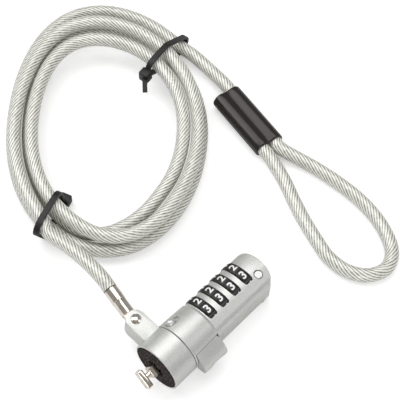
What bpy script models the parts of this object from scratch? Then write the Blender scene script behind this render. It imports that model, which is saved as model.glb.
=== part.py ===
"""Laptop cable lock: combination head, swivelling clevis, steel rope with a coil, a crimped end loop and two ties.

Lengths are written in millimetres and turned into metres by MM as each mesh is made. Positions are relative to the
centre of the foam pad's front plane: +X runs along the lock towards its far end, +Y towards the clevis, +Z is up.
"""

import math

import bmesh
import bpy
import numpy as np
from mathutils import Matrix, Vector

MM = 0.001
GAP = 0.3
RUNNING = 0.08

# Lock head
AXIS_HEIGHT = 9.2
BARREL_RADIUS = 9.1
BARREL_TAPER = 0.35
SHOULDER_RADIUS = 1.3
NOSE_FRONT = 0.3
NOSE_BACK = 1.7
NOSE_RADIUS = 8.45
PAD_RADIUS = 8.3
PAD_THICKNESS = 0.85
PAD_HOLE_RADIUS = 3.1
NECK_RADIUS = 5.0
NECK_FRONT = 2.0
COLLAR_BACK = 9.8
BARREL_FRONT = 10.05
BARREL_BACK = 21.9
HANDLE_FRONT = 21.2
COVER_FRONT = 22.1
HANDLE_HALF_WIDTH = 7.65
CROWN_TOP = 7.25
CROWN_RADIUS = 11.2
TOP_CORNER_RADIUS = 3.3
PARTING_HEIGHT = -0.3
COVER_HALF_WIDTH_BOTTOM = 6.6
COVER_CORNER_RADIUS = 1.8
END_ROUNDING = 0.9
END_BULGE = 1.3
END_CORNER = 1.6
END_BLOCK = 8.3
SCREW_FROM_END = 4.2
SCREW_Y = 4.6
SCREW_TOP = 1.0
BUTTON_FROM_END = 4.2
BUTTON_Y = -3.3
BUTTON_RADIUS = 1.45
BUTTON_BOTTOM = 3.6
BUTTON_TOP = 6.7
BUTTON_HOLE_BOTTOM = 2.0
BEAD_X = 12.5
BEAD_ANGLE = -34.0
BEAD_RADIUS = 1.65

# Combination dials
DIAL_RADIUS = 7.4
DIAL_WIDTH = 3.4
DIAL_EDGE = 0.55
DIAL_FIRST_X = 24.4
DIAL_PITCH = 5.72
DIAL_COUNT = 4
DIAL_AXIS_Y = 1.2
DIAL_AXIS_Z = 0.5
DIAL_NOTCH_DEPTH = 0.3
DIGITS_PER_DIAL = 10
DIAL_SETTING = math.radians(10.0)
HUB_RADIUS = 3.4
DIAL_SPINDLE_RADIUS = 1.55
DIAL_SPINDLE_END_LENGTH = 0.85

# Locking bar and its thumb lever
SPINDLE_RADIUS = 1.5
SPINDLE_END = 20.3
STEM_RADIUS = 1.0
CROSSBAR_NEAR = -4.2
CROSSBAR_FAR = -6.4
CROSSBAR_LENGTH = 6.8
CROSSBAR_WIDTH = 2.8
CROSSBAR_ANGLE = math.radians(217.0)
GUIDE_FRONT = -2.6
GUIDE_LENGTH = 3.8
LEVER_START = 10.95
LEVER_END = 21.3
LEVER_HUB_START = 13.7
LEVER_HUB_END = 20.3
LEVER_HUB_RADIUS = 4.6
LEVER_TOP_ANGLE = 62.0
LEVER_BOTTOM_ANGLE = 118.0
LEVER_REACH = 3.5
LEVER_LEAF_HALF = 4.7
LEVER_LOWER_CORNER = 3.6
LEVER_UPPER_CORNER = 2.4
THUMB_SCOOP_RADIUS = 8.0
THUMB_SCOOP_DEPTH = 0.7
LEVER_TRAVEL = 90.0
LEVER_PIN_X = 17.5
LEVER_PIN_RADIUS = 0.6

# Clevis and the ferrule of the rope
CLEVIS_X = 6.3
CLEVIS_RISE = math.radians(8.0)
CLEVIS_PIN_RADIAL = 15.4
CLEVIS_HALF_LENGTH = 3.4
CLEVIS_HALF_HEIGHT = 4.05
CLEVIS_SLOT_HALF = 1.5
CLEVIS_WALL = 0.65
CLEVIS_PIN_RADIUS = 1.1
PIN_HEAD_RADIUS = 1.55
TONGUE_HALF = 1.25
TONGUE_RADIUS = 2.45
TONGUE_NECK = 1.8
FERRULE_TURN = math.radians(-10.4)
FERRULE_START = 3.9
FERRULE_CRIMP_END = 9.3
FERRULE_END = 14.4
FERRULE_RADIUS = 2.5

# Rope: bare diameter with its clear coat, and the oval coil
CABLE_RADIUS = 2.5
FLOOR_GAP = 0.1
COIL_CENTRE = (59.0, 80.5)
COIL_LONG_AXIS = math.radians(43.3)
COIL_HALF_LENGTH = 57.0
COIL_HALF_WIDTH = 38.0
COIL_LANE_LENGTHWISE = 8.5
COIL_LANE_WIDTHWISE = 5.75
COIL_TOP_INSET_LENGTHWISE = 4.0
COIL_TOP_INSET_WIDTHWISE = 2.4
COIL_TOP_SHIFT = -4.0
COIL_SKEW = 6.0
COIL_TURNS = 3.5
COIL_START_ANGLE = 225.0
TUCK_LANES = 0.37
TUCK_FADE = 0.15
TUCK_SECOND_TURN = 0.95
TUCK_SECOND_FADE = 0.3
COIL_STEPS_PER_TURN = 24
COIL_LOW_HEIGHT = 3.85
COIL_HIGH_HEIGHT = 9.35
LEAD_POINTS = [(10.9, 43.5, 13.2), (11.3, 52.5, 11.6)]

# End loop, its crimp and the sleeve over it
SLEEVE_START = (99.2, 60.4)
SLEEVE_HEADING = math.radians(-102.1)
SLEEVE_LENGTH = 27.5
SLEEVE_HEIGHT = 3.45
SLEEVE_WALL = 0.6
ROPE_SPREAD = 2.65
CRIMP_START = 5.0
CRIMP_END = 21.0
LOOP_POINTS = [
    (86.2, 19.9), (82.2, 12.0), (78.4, 3.6), (75.3, -4.6), (73.0, -12.0), (73.3, -20.0), (77.2, -26.6),
    (83.6, -29.2), (90.0, -26.4), (94.4, -19.8), (97.3, -11.6), (98.7, -2.4), (98.7, 6.6), (97.9, 16.0),
]

# Cable ties
TIE_WIDTH = 2.0
TIE_THICKNESS = 1.0
TIE_SLACK = 0.35
TIE_HEAD_WIDTH = 4.0
TIE_HEAD_DEPTH = 2.8
TIE_TAIL_TURN = 38.0
UPPER_TIE_ANGLE = 43.0
UPPER_TIE_SLANT = 15.0
LOWER_TIE_ANGLE = 233.0
LOWER_TIE_SLANT = 22.0

# Derived places along the lock
LAST_DIAL_X = DIAL_FIRST_X + DIAL_PITCH * (DIAL_COUNT - 1)
TOTAL_LENGTH = LAST_DIAL_X + END_BLOCK
SCREW_X = TOTAL_LENGTH - SCREW_FROM_END
BUTTON_X = TOTAL_LENGTH - BUTTON_FROM_END
DIAL_SPINDLE_START = LEVER_HUB_END + 1.05
DIAL_SPINDLE_END = LAST_DIAL_X + DIAL_WIDTH / 2 + DIAL_SPINDLE_END_LENGTH

COLOURS = {
    "cast_silver": ((0.69, 0.70, 0.66), 0.42, 0.85),
    "silver_light": ((0.72, 0.73, 0.70), 0.38, 0.85),
    "nickel": ((0.80, 0.76, 0.68), 0.18, 1.0),
    "steel": ((0.55, 0.55, 0.54), 0.3, 1.0),
    "brass": ((0.72, 0.55, 0.28), 0.3, 1.0),
    "foam": ((0.035, 0.028, 0.024), 0.95, 0.0),
    "dial_black": ((0.012, 0.012, 0.012), 0.4, 0.0),
    "black_vinyl": ((0.010, 0.009, 0.009), 0.3, 0.0),
    "rope": ((0.50, 0.50, 0.44), 0.28, 0.55),
}


# ---------------------------------------------------------------- scene helpers
def clear_scene():
    for obj in list(bpy.data.objects):
        bpy.data.objects.remove(obj, do_unlink=True)


def new_collection(name):
    collection = bpy.data.collections.new(name)
    bpy.context.scene.collection.children.link(collection)
    return collection


def make_material(name):
    colour, roughness, metallic = COLOURS[name]
    material = bpy.data.materials.get(name)
    if material is None:
        material = bpy.data.materials.new(name)
        material.use_nodes = True
        shader = material.node_tree.nodes["Principled BSDF"]
        shader.inputs["Base Color"].default_value = (*colour, 1.0)
        shader.inputs["Roughness"].default_value = roughness
        shader.inputs["Metallic"].default_value = metallic
        material.diffuse_color = (*colour, 1.0)
    return material


clear_scene()
PARTS = new_collection("laptop_cable_lock")
CUTTERS = new_collection("cutters")
FRAMES = new_collection("frames")


def frame(name, location, rotation=(0.0, 0.0, 0.0), parent=None):
    """An empty that carries the parts placed relative to it."""
    empty = bpy.data.objects.new(name, None)
    empty.location = Vector(location) * MM
    empty.rotation_euler = rotation
    empty.parent = parent
    FRAMES.objects.link(empty)
    return empty


def add_part(name, mesh, material, parent, location=(0.0, 0.0, 0.0)):
    obj = bpy.data.objects.new(name, mesh)
    obj.location = Vector(location) * MM
    obj.parent = parent
    if material is None:
        CUTTERS.objects.link(obj)
        obj.hide_render = True
        obj.display_type = "WIRE"
    else:
        PARTS.objects.link(obj)
        mesh.materials.append(make_material(material))
    return obj


def mesh_from(name, bm):
    mesh = bpy.data.meshes.new(name)
    bm.to_mesh(mesh)
    bm.free()
    return mesh


# ---------------------------------------------------------------- shapes
def rod_mesh(name, radius, start, end, end_radius=None, segments=48):
    """A closed cylinder or cone from start to end."""
    low = Vector(start) * MM
    high = Vector(end) * MM
    direction = high - low
    turn = direction.to_track_quat("Z", "Y").to_matrix().to_4x4()
    bm = bmesh.new()
    bmesh.ops.create_cone(
        bm,
        cap_ends=True,
        segments=segments,
        radius1=radius * MM,
        radius2=(radius if end_radius is None else end_radius) * MM,
        depth=direction.length,
        matrix=Matrix.Translation((low + high) / 2) @ turn,
    )
    return mesh_from(name, bm)


def box_mesh(name, low, high, turn=None):
    """A box between two corners, turned about the X axis when turn is given."""
    size = [(b - a) * MM for a, b in zip(low, high)]
    middle = Vector([(a + b) / 2 * MM for a, b in zip(low, high)])
    bm = bmesh.new()
    matrix = Matrix.Translation(middle) @ Matrix.Diagonal((*size, 1.0))
    if turn is not None:
        matrix = Matrix.Rotation(turn, 4, "X") @ matrix
    bmesh.ops.create_cube(bm, size=1.0, matrix=matrix)
    return mesh_from(name, bm)


def prism_mesh(name, outlines, start, end):
    """Flat outlines in the Y-Z plane, filled between them and extruded along X from start to end."""
    curve = bpy.data.curves.new(name + "_outline", "CURVE")
    curve.dimensions = "2D"
    curve.fill_mode = "BOTH"
    curve.extrude = (end - start) / 2 * MM
    for outline in outlines:
        spline = curve.splines.new("POLY")
        spline.points.add(len(outline) - 1)
        for point, (across, up) in zip(spline.points, outline):
            point.co = (across * MM, up * MM, 0.0, 1.0)
        spline.use_cyclic_u = True
    holder = bpy.data.objects.new(name + "_outline", curve)
    FRAMES.objects.link(holder)
    bpy.context.view_layer.update()
    mesh = bpy.data.meshes.new_from_object(holder.evaluated_get(bpy.context.evaluated_depsgraph_get()))
    bpy.data.objects.remove(holder, do_unlink=True)
    mesh.materials.clear()
    bm = bmesh.new()
    bm.from_mesh(mesh)
    bmesh.ops.remove_doubles(bm, verts=bm.verts, dist=0.002 * MM)
    to_axis = Matrix(((0, 0, 1, (start + end) / 2 * MM), (1, 0, 0, 0), (0, 1, 0, 0), (0, 0, 0, 1)))
    bmesh.ops.transform(bm, matrix=to_axis, verts=bm.verts)
    bmesh.ops.recalc_face_normals(bm, faces=bm.faces)
    bm.to_mesh(mesh)
    bm.free()
    mesh.name = name
    return mesh


def turned_part(name, profile, material, parent, location=(0.0, 0.0, 0.0), steps=48, along="X"):
    """A profile of (radius, distance along the axis), listed from its high end down, turned about that axis."""
    mesh = bpy.data.meshes.new(name)
    points = [(radius * MM, 0.0, distance * MM) for radius, distance in profile]
    closed = min(radius for radius, _ in profile) > 0.0
    edges = [(i, i + 1) for i in range(len(points) - 1)]
    if closed:
        edges.append((len(points) - 1, 0))
    mesh.from_pydata(points, edges, [])
    obj = add_part(name, mesh, material, parent, location)
    if along == "X":
        obj.rotation_euler = (0.0, math.pi / 2, 0.0)
    elif along == "Y":
        obj.rotation_euler = (-math.pi / 2, 0.0, 0.0)
    screw = obj.modifiers.new("turn", "SCREW")
    screw.axis = "Z"
    screw.steps = steps
    screw.render_steps = steps
    screw.use_merge_vertices = True
    screw.merge_threshold = 0.00001
    return obj


def boolean(target, tool, operation="DIFFERENCE"):
    modifier = target.modifiers.new(operation.lower(), "BOOLEAN")
    modifier.operation = operation
    modifier.solver = "EXACT"
    modifier.object = tool


def cut_rod(target, radius, start, end, parent, end_radius=None, segments=48):
    name = f"{target.name}_cut_{len(target.modifiers)}"
    boolean(target, add_part(name, rod_mesh(name, radius, start, end, end_radius, segments), None, parent))


def cut_box(target, low, high, parent, turn=None):
    name = f"{target.name}_cut_{len(target.modifiers)}"
    boolean(target, add_part(name, box_mesh(name, low, high, turn), None, parent))


def add_bevel(obj, width, segments=2, angle=35.0):
    modifier = obj.modifiers.new("edge_rounding", "BEVEL")
    modifier.width = width * MM
    modifier.segments = segments
    modifier.limit_method = "ANGLE"
    modifier.angle_limit = math.radians(angle)
    return modifier


def arc(centre, radius, first, last, steps):
    """Points on a circle, angles in degrees from the first coordinate towards the second."""
    angles = np.radians(np.linspace(first, last, steps + 1))
    return [(centre[0] + radius * math.cos(a), centre[1] + radius * math.sin(a)) for a in angles]


def from_top(radius, degrees):
    """The point at an angle measured from straight up towards -Y."""
    return (-radius * math.sin(math.radians(degrees)), radius * math.cos(math.radians(degrees)))


def smooth_path(points, spacing):
    """Points at an even spacing on a smooth curve through the chosen ones."""
    points = np.array(points, float)
    ghosts = np.vstack([2 * points[0] - points[1], points, 2 * points[-1] - points[-2]])
    fine = []
    for a, b, c, d in zip(ghosts[:-3], ghosts[1:-2], ghosts[2:-1], ghosts[3:]):
        for s in np.linspace(0.0, 1.0, 24, endpoint=False):
            bend = (c - a) * s + (2 * a - 5 * b + 4 * c - d) * s**2 + (3 * b - a - 3 * c + d) * s**3
            fine.append(b + 0.5 * bend)
    fine.append(points[-1])
    fine = np.array(fine)
    travelled = np.concatenate([[0.0], np.cumsum(np.linalg.norm(np.diff(fine, axis=0), axis=1))])
    count = max(3, int(round(travelled[-1] / spacing)) + 1)
    wanted = np.linspace(0.0, travelled[-1], count)
    return np.column_stack([np.interp(wanted, travelled, fine[:, k]) for k in range(3)])


def tube_part(name, points, radius, material, parent, resolution):
    curve = bpy.data.curves.new(name, "CURVE")
    curve.dimensions = "3D"
    curve.bevel_depth = radius * MM
    curve.bevel_resolution = resolution
    curve.use_fill_caps = True
    spline = curve.splines.new("POLY")
    spline.points.add(len(points) - 1)
    for target, point in zip(spline.points, points):
        target.co = (*(Vector(point) * MM), 1.0)
    curve.materials.append(make_material(material))
    obj = bpy.data.objects.new(name, curve)
    obj.parent = parent
    PARTS.objects.link(obj)
    weld = obj.modifiers.new("weld_caps", "WELD")
    weld.merge_threshold = 0.00001
    return obj


def path_length(points):
    return float(np.linalg.norm(np.diff(np.array(points), axis=0), axis=1).sum())


# ---------------------------------------------------------------- frames
BOX_MIDDLE = ((CROSSBAR_FAR + TOTAL_LENGTH) / 2, 8.78)
ROOM = frame("world_frame", (-BOX_MIDDLE[0], -BOX_MIDDLE[1], 0.0))
LOCK = frame("lock_axis", (0.0, 0.0, AXIS_HEIGHT), parent=ROOM)
DIALS = frame("dial_axis", (0.0, DIAL_AXIS_Y, DIAL_AXIS_Z), parent=LOCK)
CLEVIS = frame(
    "clevis_pin_axis",
    (CLEVIS_X, CLEVIS_PIN_RADIAL * math.cos(CLEVIS_RISE), CLEVIS_PIN_RADIAL * math.sin(CLEVIS_RISE)),
    rotation=(CLEVIS_RISE, 0.0, 0.0),
    parent=LOCK,
)
FERRULE = frame("ferrule_axis", (0.0, 0.0, 0.0), rotation=(0.0, 0.0, FERRULE_TURN), parent=CLEVIS)
SLEEVE = frame("sleeve_axis", (*SLEEVE_START, SLEEVE_HEIGHT), rotation=(0.0, 0.0, SLEEVE_HEADING), parent=ROOM)


# ---------------------------------------------------------------- lock head
def shell_outline():
    crown_middle = CROWN_TOP - CROWN_RADIUS
    corner_y = HANDLE_HALF_WIDTH - TOP_CORNER_RADIUS
    reach = CROWN_RADIUS - TOP_CORNER_RADIUS
    corner_z = crown_middle + math.sqrt(reach**2 - corner_y**2)
    meet = math.degrees(math.atan2(corner_z - crown_middle, corner_y))
    right = arc((corner_y, corner_z), TOP_CORNER_RADIUS, 0.0, meet, 5)
    crown = arc((0.0, crown_middle), CROWN_RADIUS, meet, 180.0 - meet, 10)[1:-1]
    left = [(-y, z) for y, z in reversed(right)]
    side = HANDLE_HALF_WIDTH
    return [(side, PARTING_HEIGHT), *right, *crown, *left, (-side, PARTING_HEIGHT)]


def cover_outline():
    bottom = -AXIS_HEIGHT
    top = PARTING_HEIGHT - GAP
    side = HANDLE_HALF_WIDTH - 0.05
    low = COVER_HALF_WIDTH_BOTTOM
    r = COVER_CORNER_RADIUS
    corner = arc((low - r, bottom + r), r, -90.0, -6.0, 4)
    right = [*corner, (side, top)]
    left = [(-y, z) for y, z in reversed(right)]
    return [*right, *left]


def round_end(target, front):
    """Shapes the far end in plan: a shallow curve across it that falls away at both corners."""
    half = HANDLE_HALF_WIDTH
    reach = half + 0.6
    outline = [(reach, -front), (-reach, -front)]
    for across in np.linspace(-reach, reach, 19):
        share = min(1.0, abs(across) / half)
        far = TOTAL_LENGTH - END_BULGE * share**2 - END_CORNER * share**8
        outline.append((across, -far))
    name = target.name + "_plan"
    plan = add_part(name, prism_mesh(name, [outline], -AXIS_HEIGHT - 2.0, BARREL_RADIUS + 2.0), None, LOCK)
    plan.rotation_euler = (0.0, -math.pi / 2, 0.0)
    boolean(target, plan, "INTERSECT")


def dial_positions():
    return [DIAL_FIRST_X + DIAL_PITCH * i for i in range(DIAL_COUNT)]


def cut_dial_slots(target):
    half = DIAL_WIDTH / 2 + 0.2
    for number, x in enumerate(dial_positions(), start=1):
        name = f"{target.name}_slot_{number}"
        mesh = rod_mesh(name, DIAL_RADIUS + GAP, (-half, 0, 0), (half, 0, 0), segments=48)
        slot = add_part(name, mesh, None, DIALS, (x, 0, 0))
        add_bevel(slot, DIAL_EDGE, segments=2, angle=60.0)
        boolean(target, slot)
    start = DIAL_SPINDLE_START - GAP
    end = DIAL_SPINDLE_END + GAP
    cut_rod(target, DIAL_SPINDLE_RADIUS + 0.1, (start, 0, 0), (end, 0, 0), DIALS, segments=32)


def build_housing():
    back_radius = BARREL_RADIUS - BARREL_TAPER
    centre = (BARREL_BACK - SHOULDER_RADIUS, back_radius - SHOULDER_RADIUS)
    shoulder = [(radius, along) for along, radius in arc(centre, SHOULDER_RADIUS, 0.0, 90.0, 5)]
    profile = [
        (0.0, BARREL_BACK),
        *shoulder,
        (BARREL_RADIUS, BARREL_FRONT + 0.15),
        (BARREL_RADIUS - 0.12, BARREL_FRONT),
        (7.5, BARREL_FRONT),
        (7.5, BARREL_FRONT + 0.75),
        (NECK_RADIUS, BARREL_FRONT + 0.75),
        (NECK_RADIUS, NECK_FRONT),
        (0.0, NECK_FRONT),
    ]
    housing = turned_part("main_housing", profile, "cast_silver", LOCK, steps=64)
    shell_mesh = prism_mesh("shell_block", [shell_outline()], HANDLE_FRONT, TOTAL_LENGTH)
    shell = add_part("shell_block", shell_mesh, None, LOCK)
    add_bevel(shell, END_ROUNDING, segments=3, angle=60.0)
    round_end(shell, HANDLE_FRONT - 2.0)
    boolean(housing, shell, "UNION")
    cut_dial_slots(housing)
    cut_rod(housing, SPINDLE_RADIUS + RUNNING, (NECK_FRONT - 1, 0, 0), (LEVER_START, 0, 0), LOCK, segments=32)
    cut_rod(housing, LEVER_HUB_RADIUS + GAP, (LEVER_START - 0.25, 0, 0), (LEVER_HUB_END + 0.25, 0, 0), LOCK)
    # the slot through which the lever reaches out and swings down
    first = LEVER_TOP_ANGLE - 1.6
    last = LEVER_BOTTOM_ANGLE + LEVER_TRAVEL + 1.6
    slot = [from_top(2.0, a) for a in np.linspace(last, first, 10)]
    slot += [from_top(BARREL_RADIUS + LEVER_REACH + 1.5, a) for a in np.linspace(first, last, 16)]
    slot_mesh = prism_mesh("lever_slot", [slot], LEVER_START - 0.25, LEVER_END + 0.25)
    boolean(housing, add_part("lever_slot", slot_mesh, None, LOCK))
    # dimple and hole of the stop bead
    y, z = from_top(1.0, BEAD_ANGLE)
    deep = BARREL_RADIUS - 1.9
    shallow = BARREL_RADIUS - 0.9
    outside = BARREL_RADIUS + 3.0
    cut_rod(
        housing,
        BEAD_RADIUS + 0.15,
        (BEAD_X, y * deep, z * deep),
        (BEAD_X, y * outside, z * outside),
        LOCK,
        segments=32,
    )
    cut_rod(
        housing,
        BEAD_RADIUS + 0.05,
        (BEAD_X + 1.5, y * shallow, z * shallow),
        (BEAD_X + 1.9, y * outside, z * outside),
        LOCK,
        end_radius=BEAD_RADIUS + 0.75,
        segments=32,
    )
    cut_rod(
        housing,
        BUTTON_RADIUS + 0.15,
        (BUTTON_X, BUTTON_Y, BUTTON_HOLE_BOTTOM),
        (BUTTON_X, BUTTON_Y, 10.0),
        LOCK,
        segments=32,
    )
    for side in (-1, 1):
        cut_rod(
            housing, 1.0, (SCREW_X, side * SCREW_Y, -3.0), (SCREW_X, side * SCREW_Y, SCREW_TOP), LOCK, segments=24
        )
    return housing


def build_cover():
    mesh = prism_mesh("lower_cover", [cover_outline()], COVER_FRONT, TOTAL_LENGTH)
    cover = add_part("lower_cover", mesh, "cast_silver", LOCK)
    add_bevel(cover, END_ROUNDING * 0.7, segments=2, angle=60.0)
    round_end(cover, COVER_FRONT - 2.0)
    cut_dial_slots(cover)
    for side in (-1, 1):
        foot = (SCREW_X, side * SCREW_Y)
        cut_rod(cover, 1.0, (*foot, -12.0), (*foot, 2.0), LOCK, segments=24)
        cut_rod(cover, 2.1, (*foot, -12.0), (*foot, -AXIS_HEIGHT + 1.5), LOCK, segments=24)
    return cover


def build_screws():
    for number, side in ((1, -1), (2, 1)):
        profile = [
            (0.0, SCREW_TOP - GAP),
            (0.85, SCREW_TOP - GAP),
            (0.85, -AXIS_HEIGHT + 1.4),
            (1.8, -AXIS_HEIGHT + 1.3),
            (1.8, -AXIS_HEIGHT + 0.35),
            (0.0, -AXIS_HEIGHT + 0.35),
        ]
        screw = turned_part(
            f"cover_screw_{number}", profile, "steel", LOCK, (SCREW_X, side * SCREW_Y, 0), 24, "Z"
        )
        for turn in (0.0, 90.0):
            name = f"cover_screw_{number}_cross_{int(turn)}"
            cross = box_mesh(name, (-1.2, -0.2, -AXIS_HEIGHT - 1), (1.2, 0.2, -AXIS_HEIGHT + 0.75))
            tool = add_part(name, cross, None, LOCK, (SCREW_X, side * SCREW_Y, 0))
            tool.rotation_euler = (0.0, 0.0, math.radians(turn))
            boolean(screw, tool)


def build_nose():
    face = PAD_THICKNESS + GAP
    profile = [(0.8, NOSE_BACK), (NOSE_RADIUS, NOSE_BACK), (NOSE_RADIUS, face), (0.8, face)]
    nose = turned_part("nose_disc", profile, "silver_light", LOCK, steps=64)
    half_w = CROSSBAR_WIDTH / 2 + 0.15
    half_l = GUIDE_LENGTH / 2 + 0.15
    cut_box(nose, (-1.0, -half_l, -half_w), (4.0, half_l, half_w), LOCK, turn=CROSSBAR_ANGLE)

    pad = [
        (PAD_HOLE_RADIUS, PAD_THICKNESS),
        (PAD_RADIUS, PAD_THICKNESS),
        (PAD_RADIUS, 0.15),
        (PAD_RADIUS - 0.15, 0.0),
        (PAD_HOLE_RADIUS, 0.0),
    ]
    turned_part("foam_pad", pad, "foam", LOCK, steps=64)

    half_w = CROSSBAR_WIDTH / 2
    half_l = GUIDE_LENGTH / 2
    guide_mesh = box_mesh(
        "nose_guide", (GUIDE_FRONT, -half_l, -half_w), (NOSE_BACK, half_l, half_w), CROSSBAR_ANGLE
    )
    guide = add_part("nose_guide", guide_mesh, "nickel", LOCK)
    add_bevel(guide, 0.25)
    cut_rod(guide, STEM_RADIUS + RUNNING, (GUIDE_FRONT - 1, 0, 0), (NOSE_BACK + 1, 0, 0), LOCK, segments=32)


def build_locking_bar():
    profile = [
        (0.0, SPINDLE_END),
        (SPINDLE_RADIUS, SPINDLE_END),
        (SPINDLE_RADIUS, NECK_FRONT + 0.1),
        (STEM_RADIUS, NECK_FRONT + 0.1),
        (STEM_RADIUS, CROSSBAR_NEAR - 0.5),
        (0.0, CROSSBAR_NEAR - 0.5),
    ]
    bar = turned_part("tbar_spindle", profile, "nickel", LOCK, steps=32)
    half_l = CROSSBAR_LENGTH / 2
    half_w = CROSSBAR_WIDTH / 2
    cross = box_mesh(
        "crossbar_block", (CROSSBAR_FAR, -half_l, -half_w), (CROSSBAR_NEAR, half_l, half_w), CROSSBAR_ANGLE
    )
    block = add_part("crossbar_block", cross, None, LOCK)
    add_bevel(block, 0.5, segments=3)
    boolean(bar, block, "UNION")
    pin_y, pin_z = from_top(1.0, 90.0)
    cut_rod(
        bar,
        LEVER_PIN_RADIUS + 0.05,
        (LEVER_PIN_X, pin_y * 6, pin_z * 6),
        (LEVER_PIN_X, -pin_y * 6, -pin_z * 6),
        LOCK,
        segments=16,
    )


def lever_leaf():
    """The tab's outline seen from its outer side: square at the front, rounded at the rear, as (-x, z)."""
    half = LEVER_LEAF_HALF
    low = arc((LEVER_END - LEVER_LOWER_CORNER, LEVER_LOWER_CORNER - half), LEVER_LOWER_CORNER, -90.0, 0.0, 8)
    high = arc((LEVER_END - LEVER_UPPER_CORNER, half - LEVER_UPPER_CORNER), LEVER_UPPER_CORNER, 0.0, 90.0, 6)
    outline = [(LEVER_START - 1.0, -half), *low, *high, (LEVER_START - 1.0, half)]
    return [(-x, z) for x, z in outline]


def build_lever():
    """Hub on the spindle with an arm that comes out through the barrel and ends in a curved thumb tab."""
    hub_mesh = rod_mesh("thumb_lever", LEVER_HUB_RADIUS, (LEVER_HUB_START, 0, 0), (LEVER_HUB_END, 0, 0))
    hub = add_part("thumb_lever", hub_mesh, "silver_light", LOCK)
    web = LEVER_HUB_RADIUS - 1.0
    outline = [from_top(web, a) for a in np.linspace(LEVER_BOTTOM_ANGLE - 1, LEVER_TOP_ANGLE + 1, 7)]
    for share in np.linspace(0.0, 1.0, 17):
        # the outer face swells from the barrel's surface to its full reach at three quarters of the way down
        swell = LEVER_REACH * math.sin(math.pi * share**2.2) ** 0.7 if 0.0 < share < 1.0 else 0.0
        angle = LEVER_TOP_ANGLE + (LEVER_BOTTOM_ANGLE - LEVER_TOP_ANGLE) * share
        outline.append(from_top(BARREL_RADIUS - 0.1 + swell, angle))
    arm = add_part("lever_arm", prism_mesh("lever_arm", [outline], LEVER_START, LEVER_END), None, LOCK)
    outside = BARREL_RADIUS + LEVER_REACH + 2.0
    leaf = add_part("lever_leaf", prism_mesh("lever_leaf", [lever_leaf()], -outside, 0.5), None, LOCK)
    leaf.rotation_euler = (0.0, 0.0, math.pi / 2)
    boolean(arm, leaf, "INTERSECT")
    spring_room = rod_mesh(
        "lever_spring_room", LEVER_HUB_RADIUS, (LEVER_START - 1, 0, 0), (LEVER_HUB_START, 0, 0)
    )
    boolean(arm, add_part("lever_spring_room", spring_room, None, LOCK))
    add_bevel(arm, 0.35, segments=2, angle=50.0)
    # a shallow round hollow for the thumb in the outer face
    scoop = bmesh.new()
    bmesh.ops.create_uvsphere(scoop, u_segments=40, v_segments=24, radius=THUMB_SCOOP_RADIUS * MM)
    distance = BARREL_RADIUS + LEVER_REACH + THUMB_SCOOP_RADIUS - THUMB_SCOOP_DEPTH
    place = ((LEVER_START + LEVER_END) / 2 + 0.9, *from_top(distance, 101.0))
    boolean(arm, add_part("thumb_scoop", mesh_from("thumb_scoop", scoop), None, LOCK, place))
    boolean(hub, arm, "UNION")
    cut_rod(hub, SPINDLE_RADIUS + 0.1, (LEVER_START - 1, 0, 0), (LEVER_END + 1, 0, 0), LOCK, segments=32)
    cut_rod(hub, LEVER_PIN_RADIUS + 0.05, (LEVER_PIN_X, 6.0, 0), (LEVER_PIN_X, -4.4, 0), LOCK, segments=16)

    pin = rod_mesh("lever_pin", LEVER_PIN_RADIUS, (LEVER_PIN_X, 4.3, 0), (LEVER_PIN_X, -4.2, 0), segments=16)
    add_part("lever_pin", pin, "steel", LOCK)

    turns = 3
    spiral = []
    for step in range(turns * 24 + 1):
        angle = 2 * math.pi * step / 24
        x = 11.5 + 1.9 * step / (turns * 24)
        spiral.append((x, 2.9 * math.cos(angle), 2.9 * math.sin(angle)))
    tube_part("lever_spring", spiral, 0.25, "steel", LOCK, 1)


def dial_outline(radius, depth, points_per_digit=12):
    """A circle with a shallow rounded notch between neighbouring digits, turned from the top by the setting."""
    outline = []
    for step in range(DIGITS_PER_DIAL * points_per_digit):
        angle = 2 * math.pi * step / (DIGITS_PER_DIAL * points_per_digit) + DIAL_SETTING
        phase = abs((step % points_per_digit) / points_per_digit - 0.5) * 2
        dip = depth * max(0.0, 1.0 - (1.0 - phase) / 0.3)
        outline.append(((radius - dip) * math.cos(angle), (radius - dip) * math.sin(angle)))
    return outline


def build_dials():
    half = DIAL_WIDTH / 2
    outline = dial_outline(DIAL_RADIUS, DIAL_NOTCH_DEPTH, 10)
    hole = arc((0.0, 0.0), HUB_RADIUS + 0.1, 0.0, 360.0, 40)[:-1]
    for number, x in enumerate(dial_positions(), start=1):
        name = f"dial_{number}"
        dial = add_part(name, prism_mesh(name, [outline, hole], -half, half), "dial_black", DIALS, (x, 0, 0))
        ring = rod_mesh(
            name + "_edge", DIAL_RADIUS + 0.02, (-half - 0.02, 0, 0), (half + 0.02, 0, 0), segments=60
        )
        edge = add_part(name + "_edge", ring, None, DIALS, (x, 0, 0))
        add_bevel(edge, DIAL_EDGE, segments=2, angle=60.0)
        boolean(dial, edge, "INTERSECT")
        profile = [
            (DIAL_SPINDLE_RADIUS + 0.1, half - 0.05),
            (HUB_RADIUS, half - 0.05),
            (HUB_RADIUS, -half + 0.05),
            (DIAL_SPINDLE_RADIUS + 0.1, -half + 0.05),
        ]
        turned_part(f"dial_hub_{number}", profile, "brass", DIALS, (x, 0, 0), steps=32)
    rod = rod_mesh(
        "dial_spindle", DIAL_SPINDLE_RADIUS, (DIAL_SPINDLE_START, 0, 0), (DIAL_SPINDLE_END, 0, 0), segments=32
    )
    add_part("dial_spindle", rod, "steel", DIALS)


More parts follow.
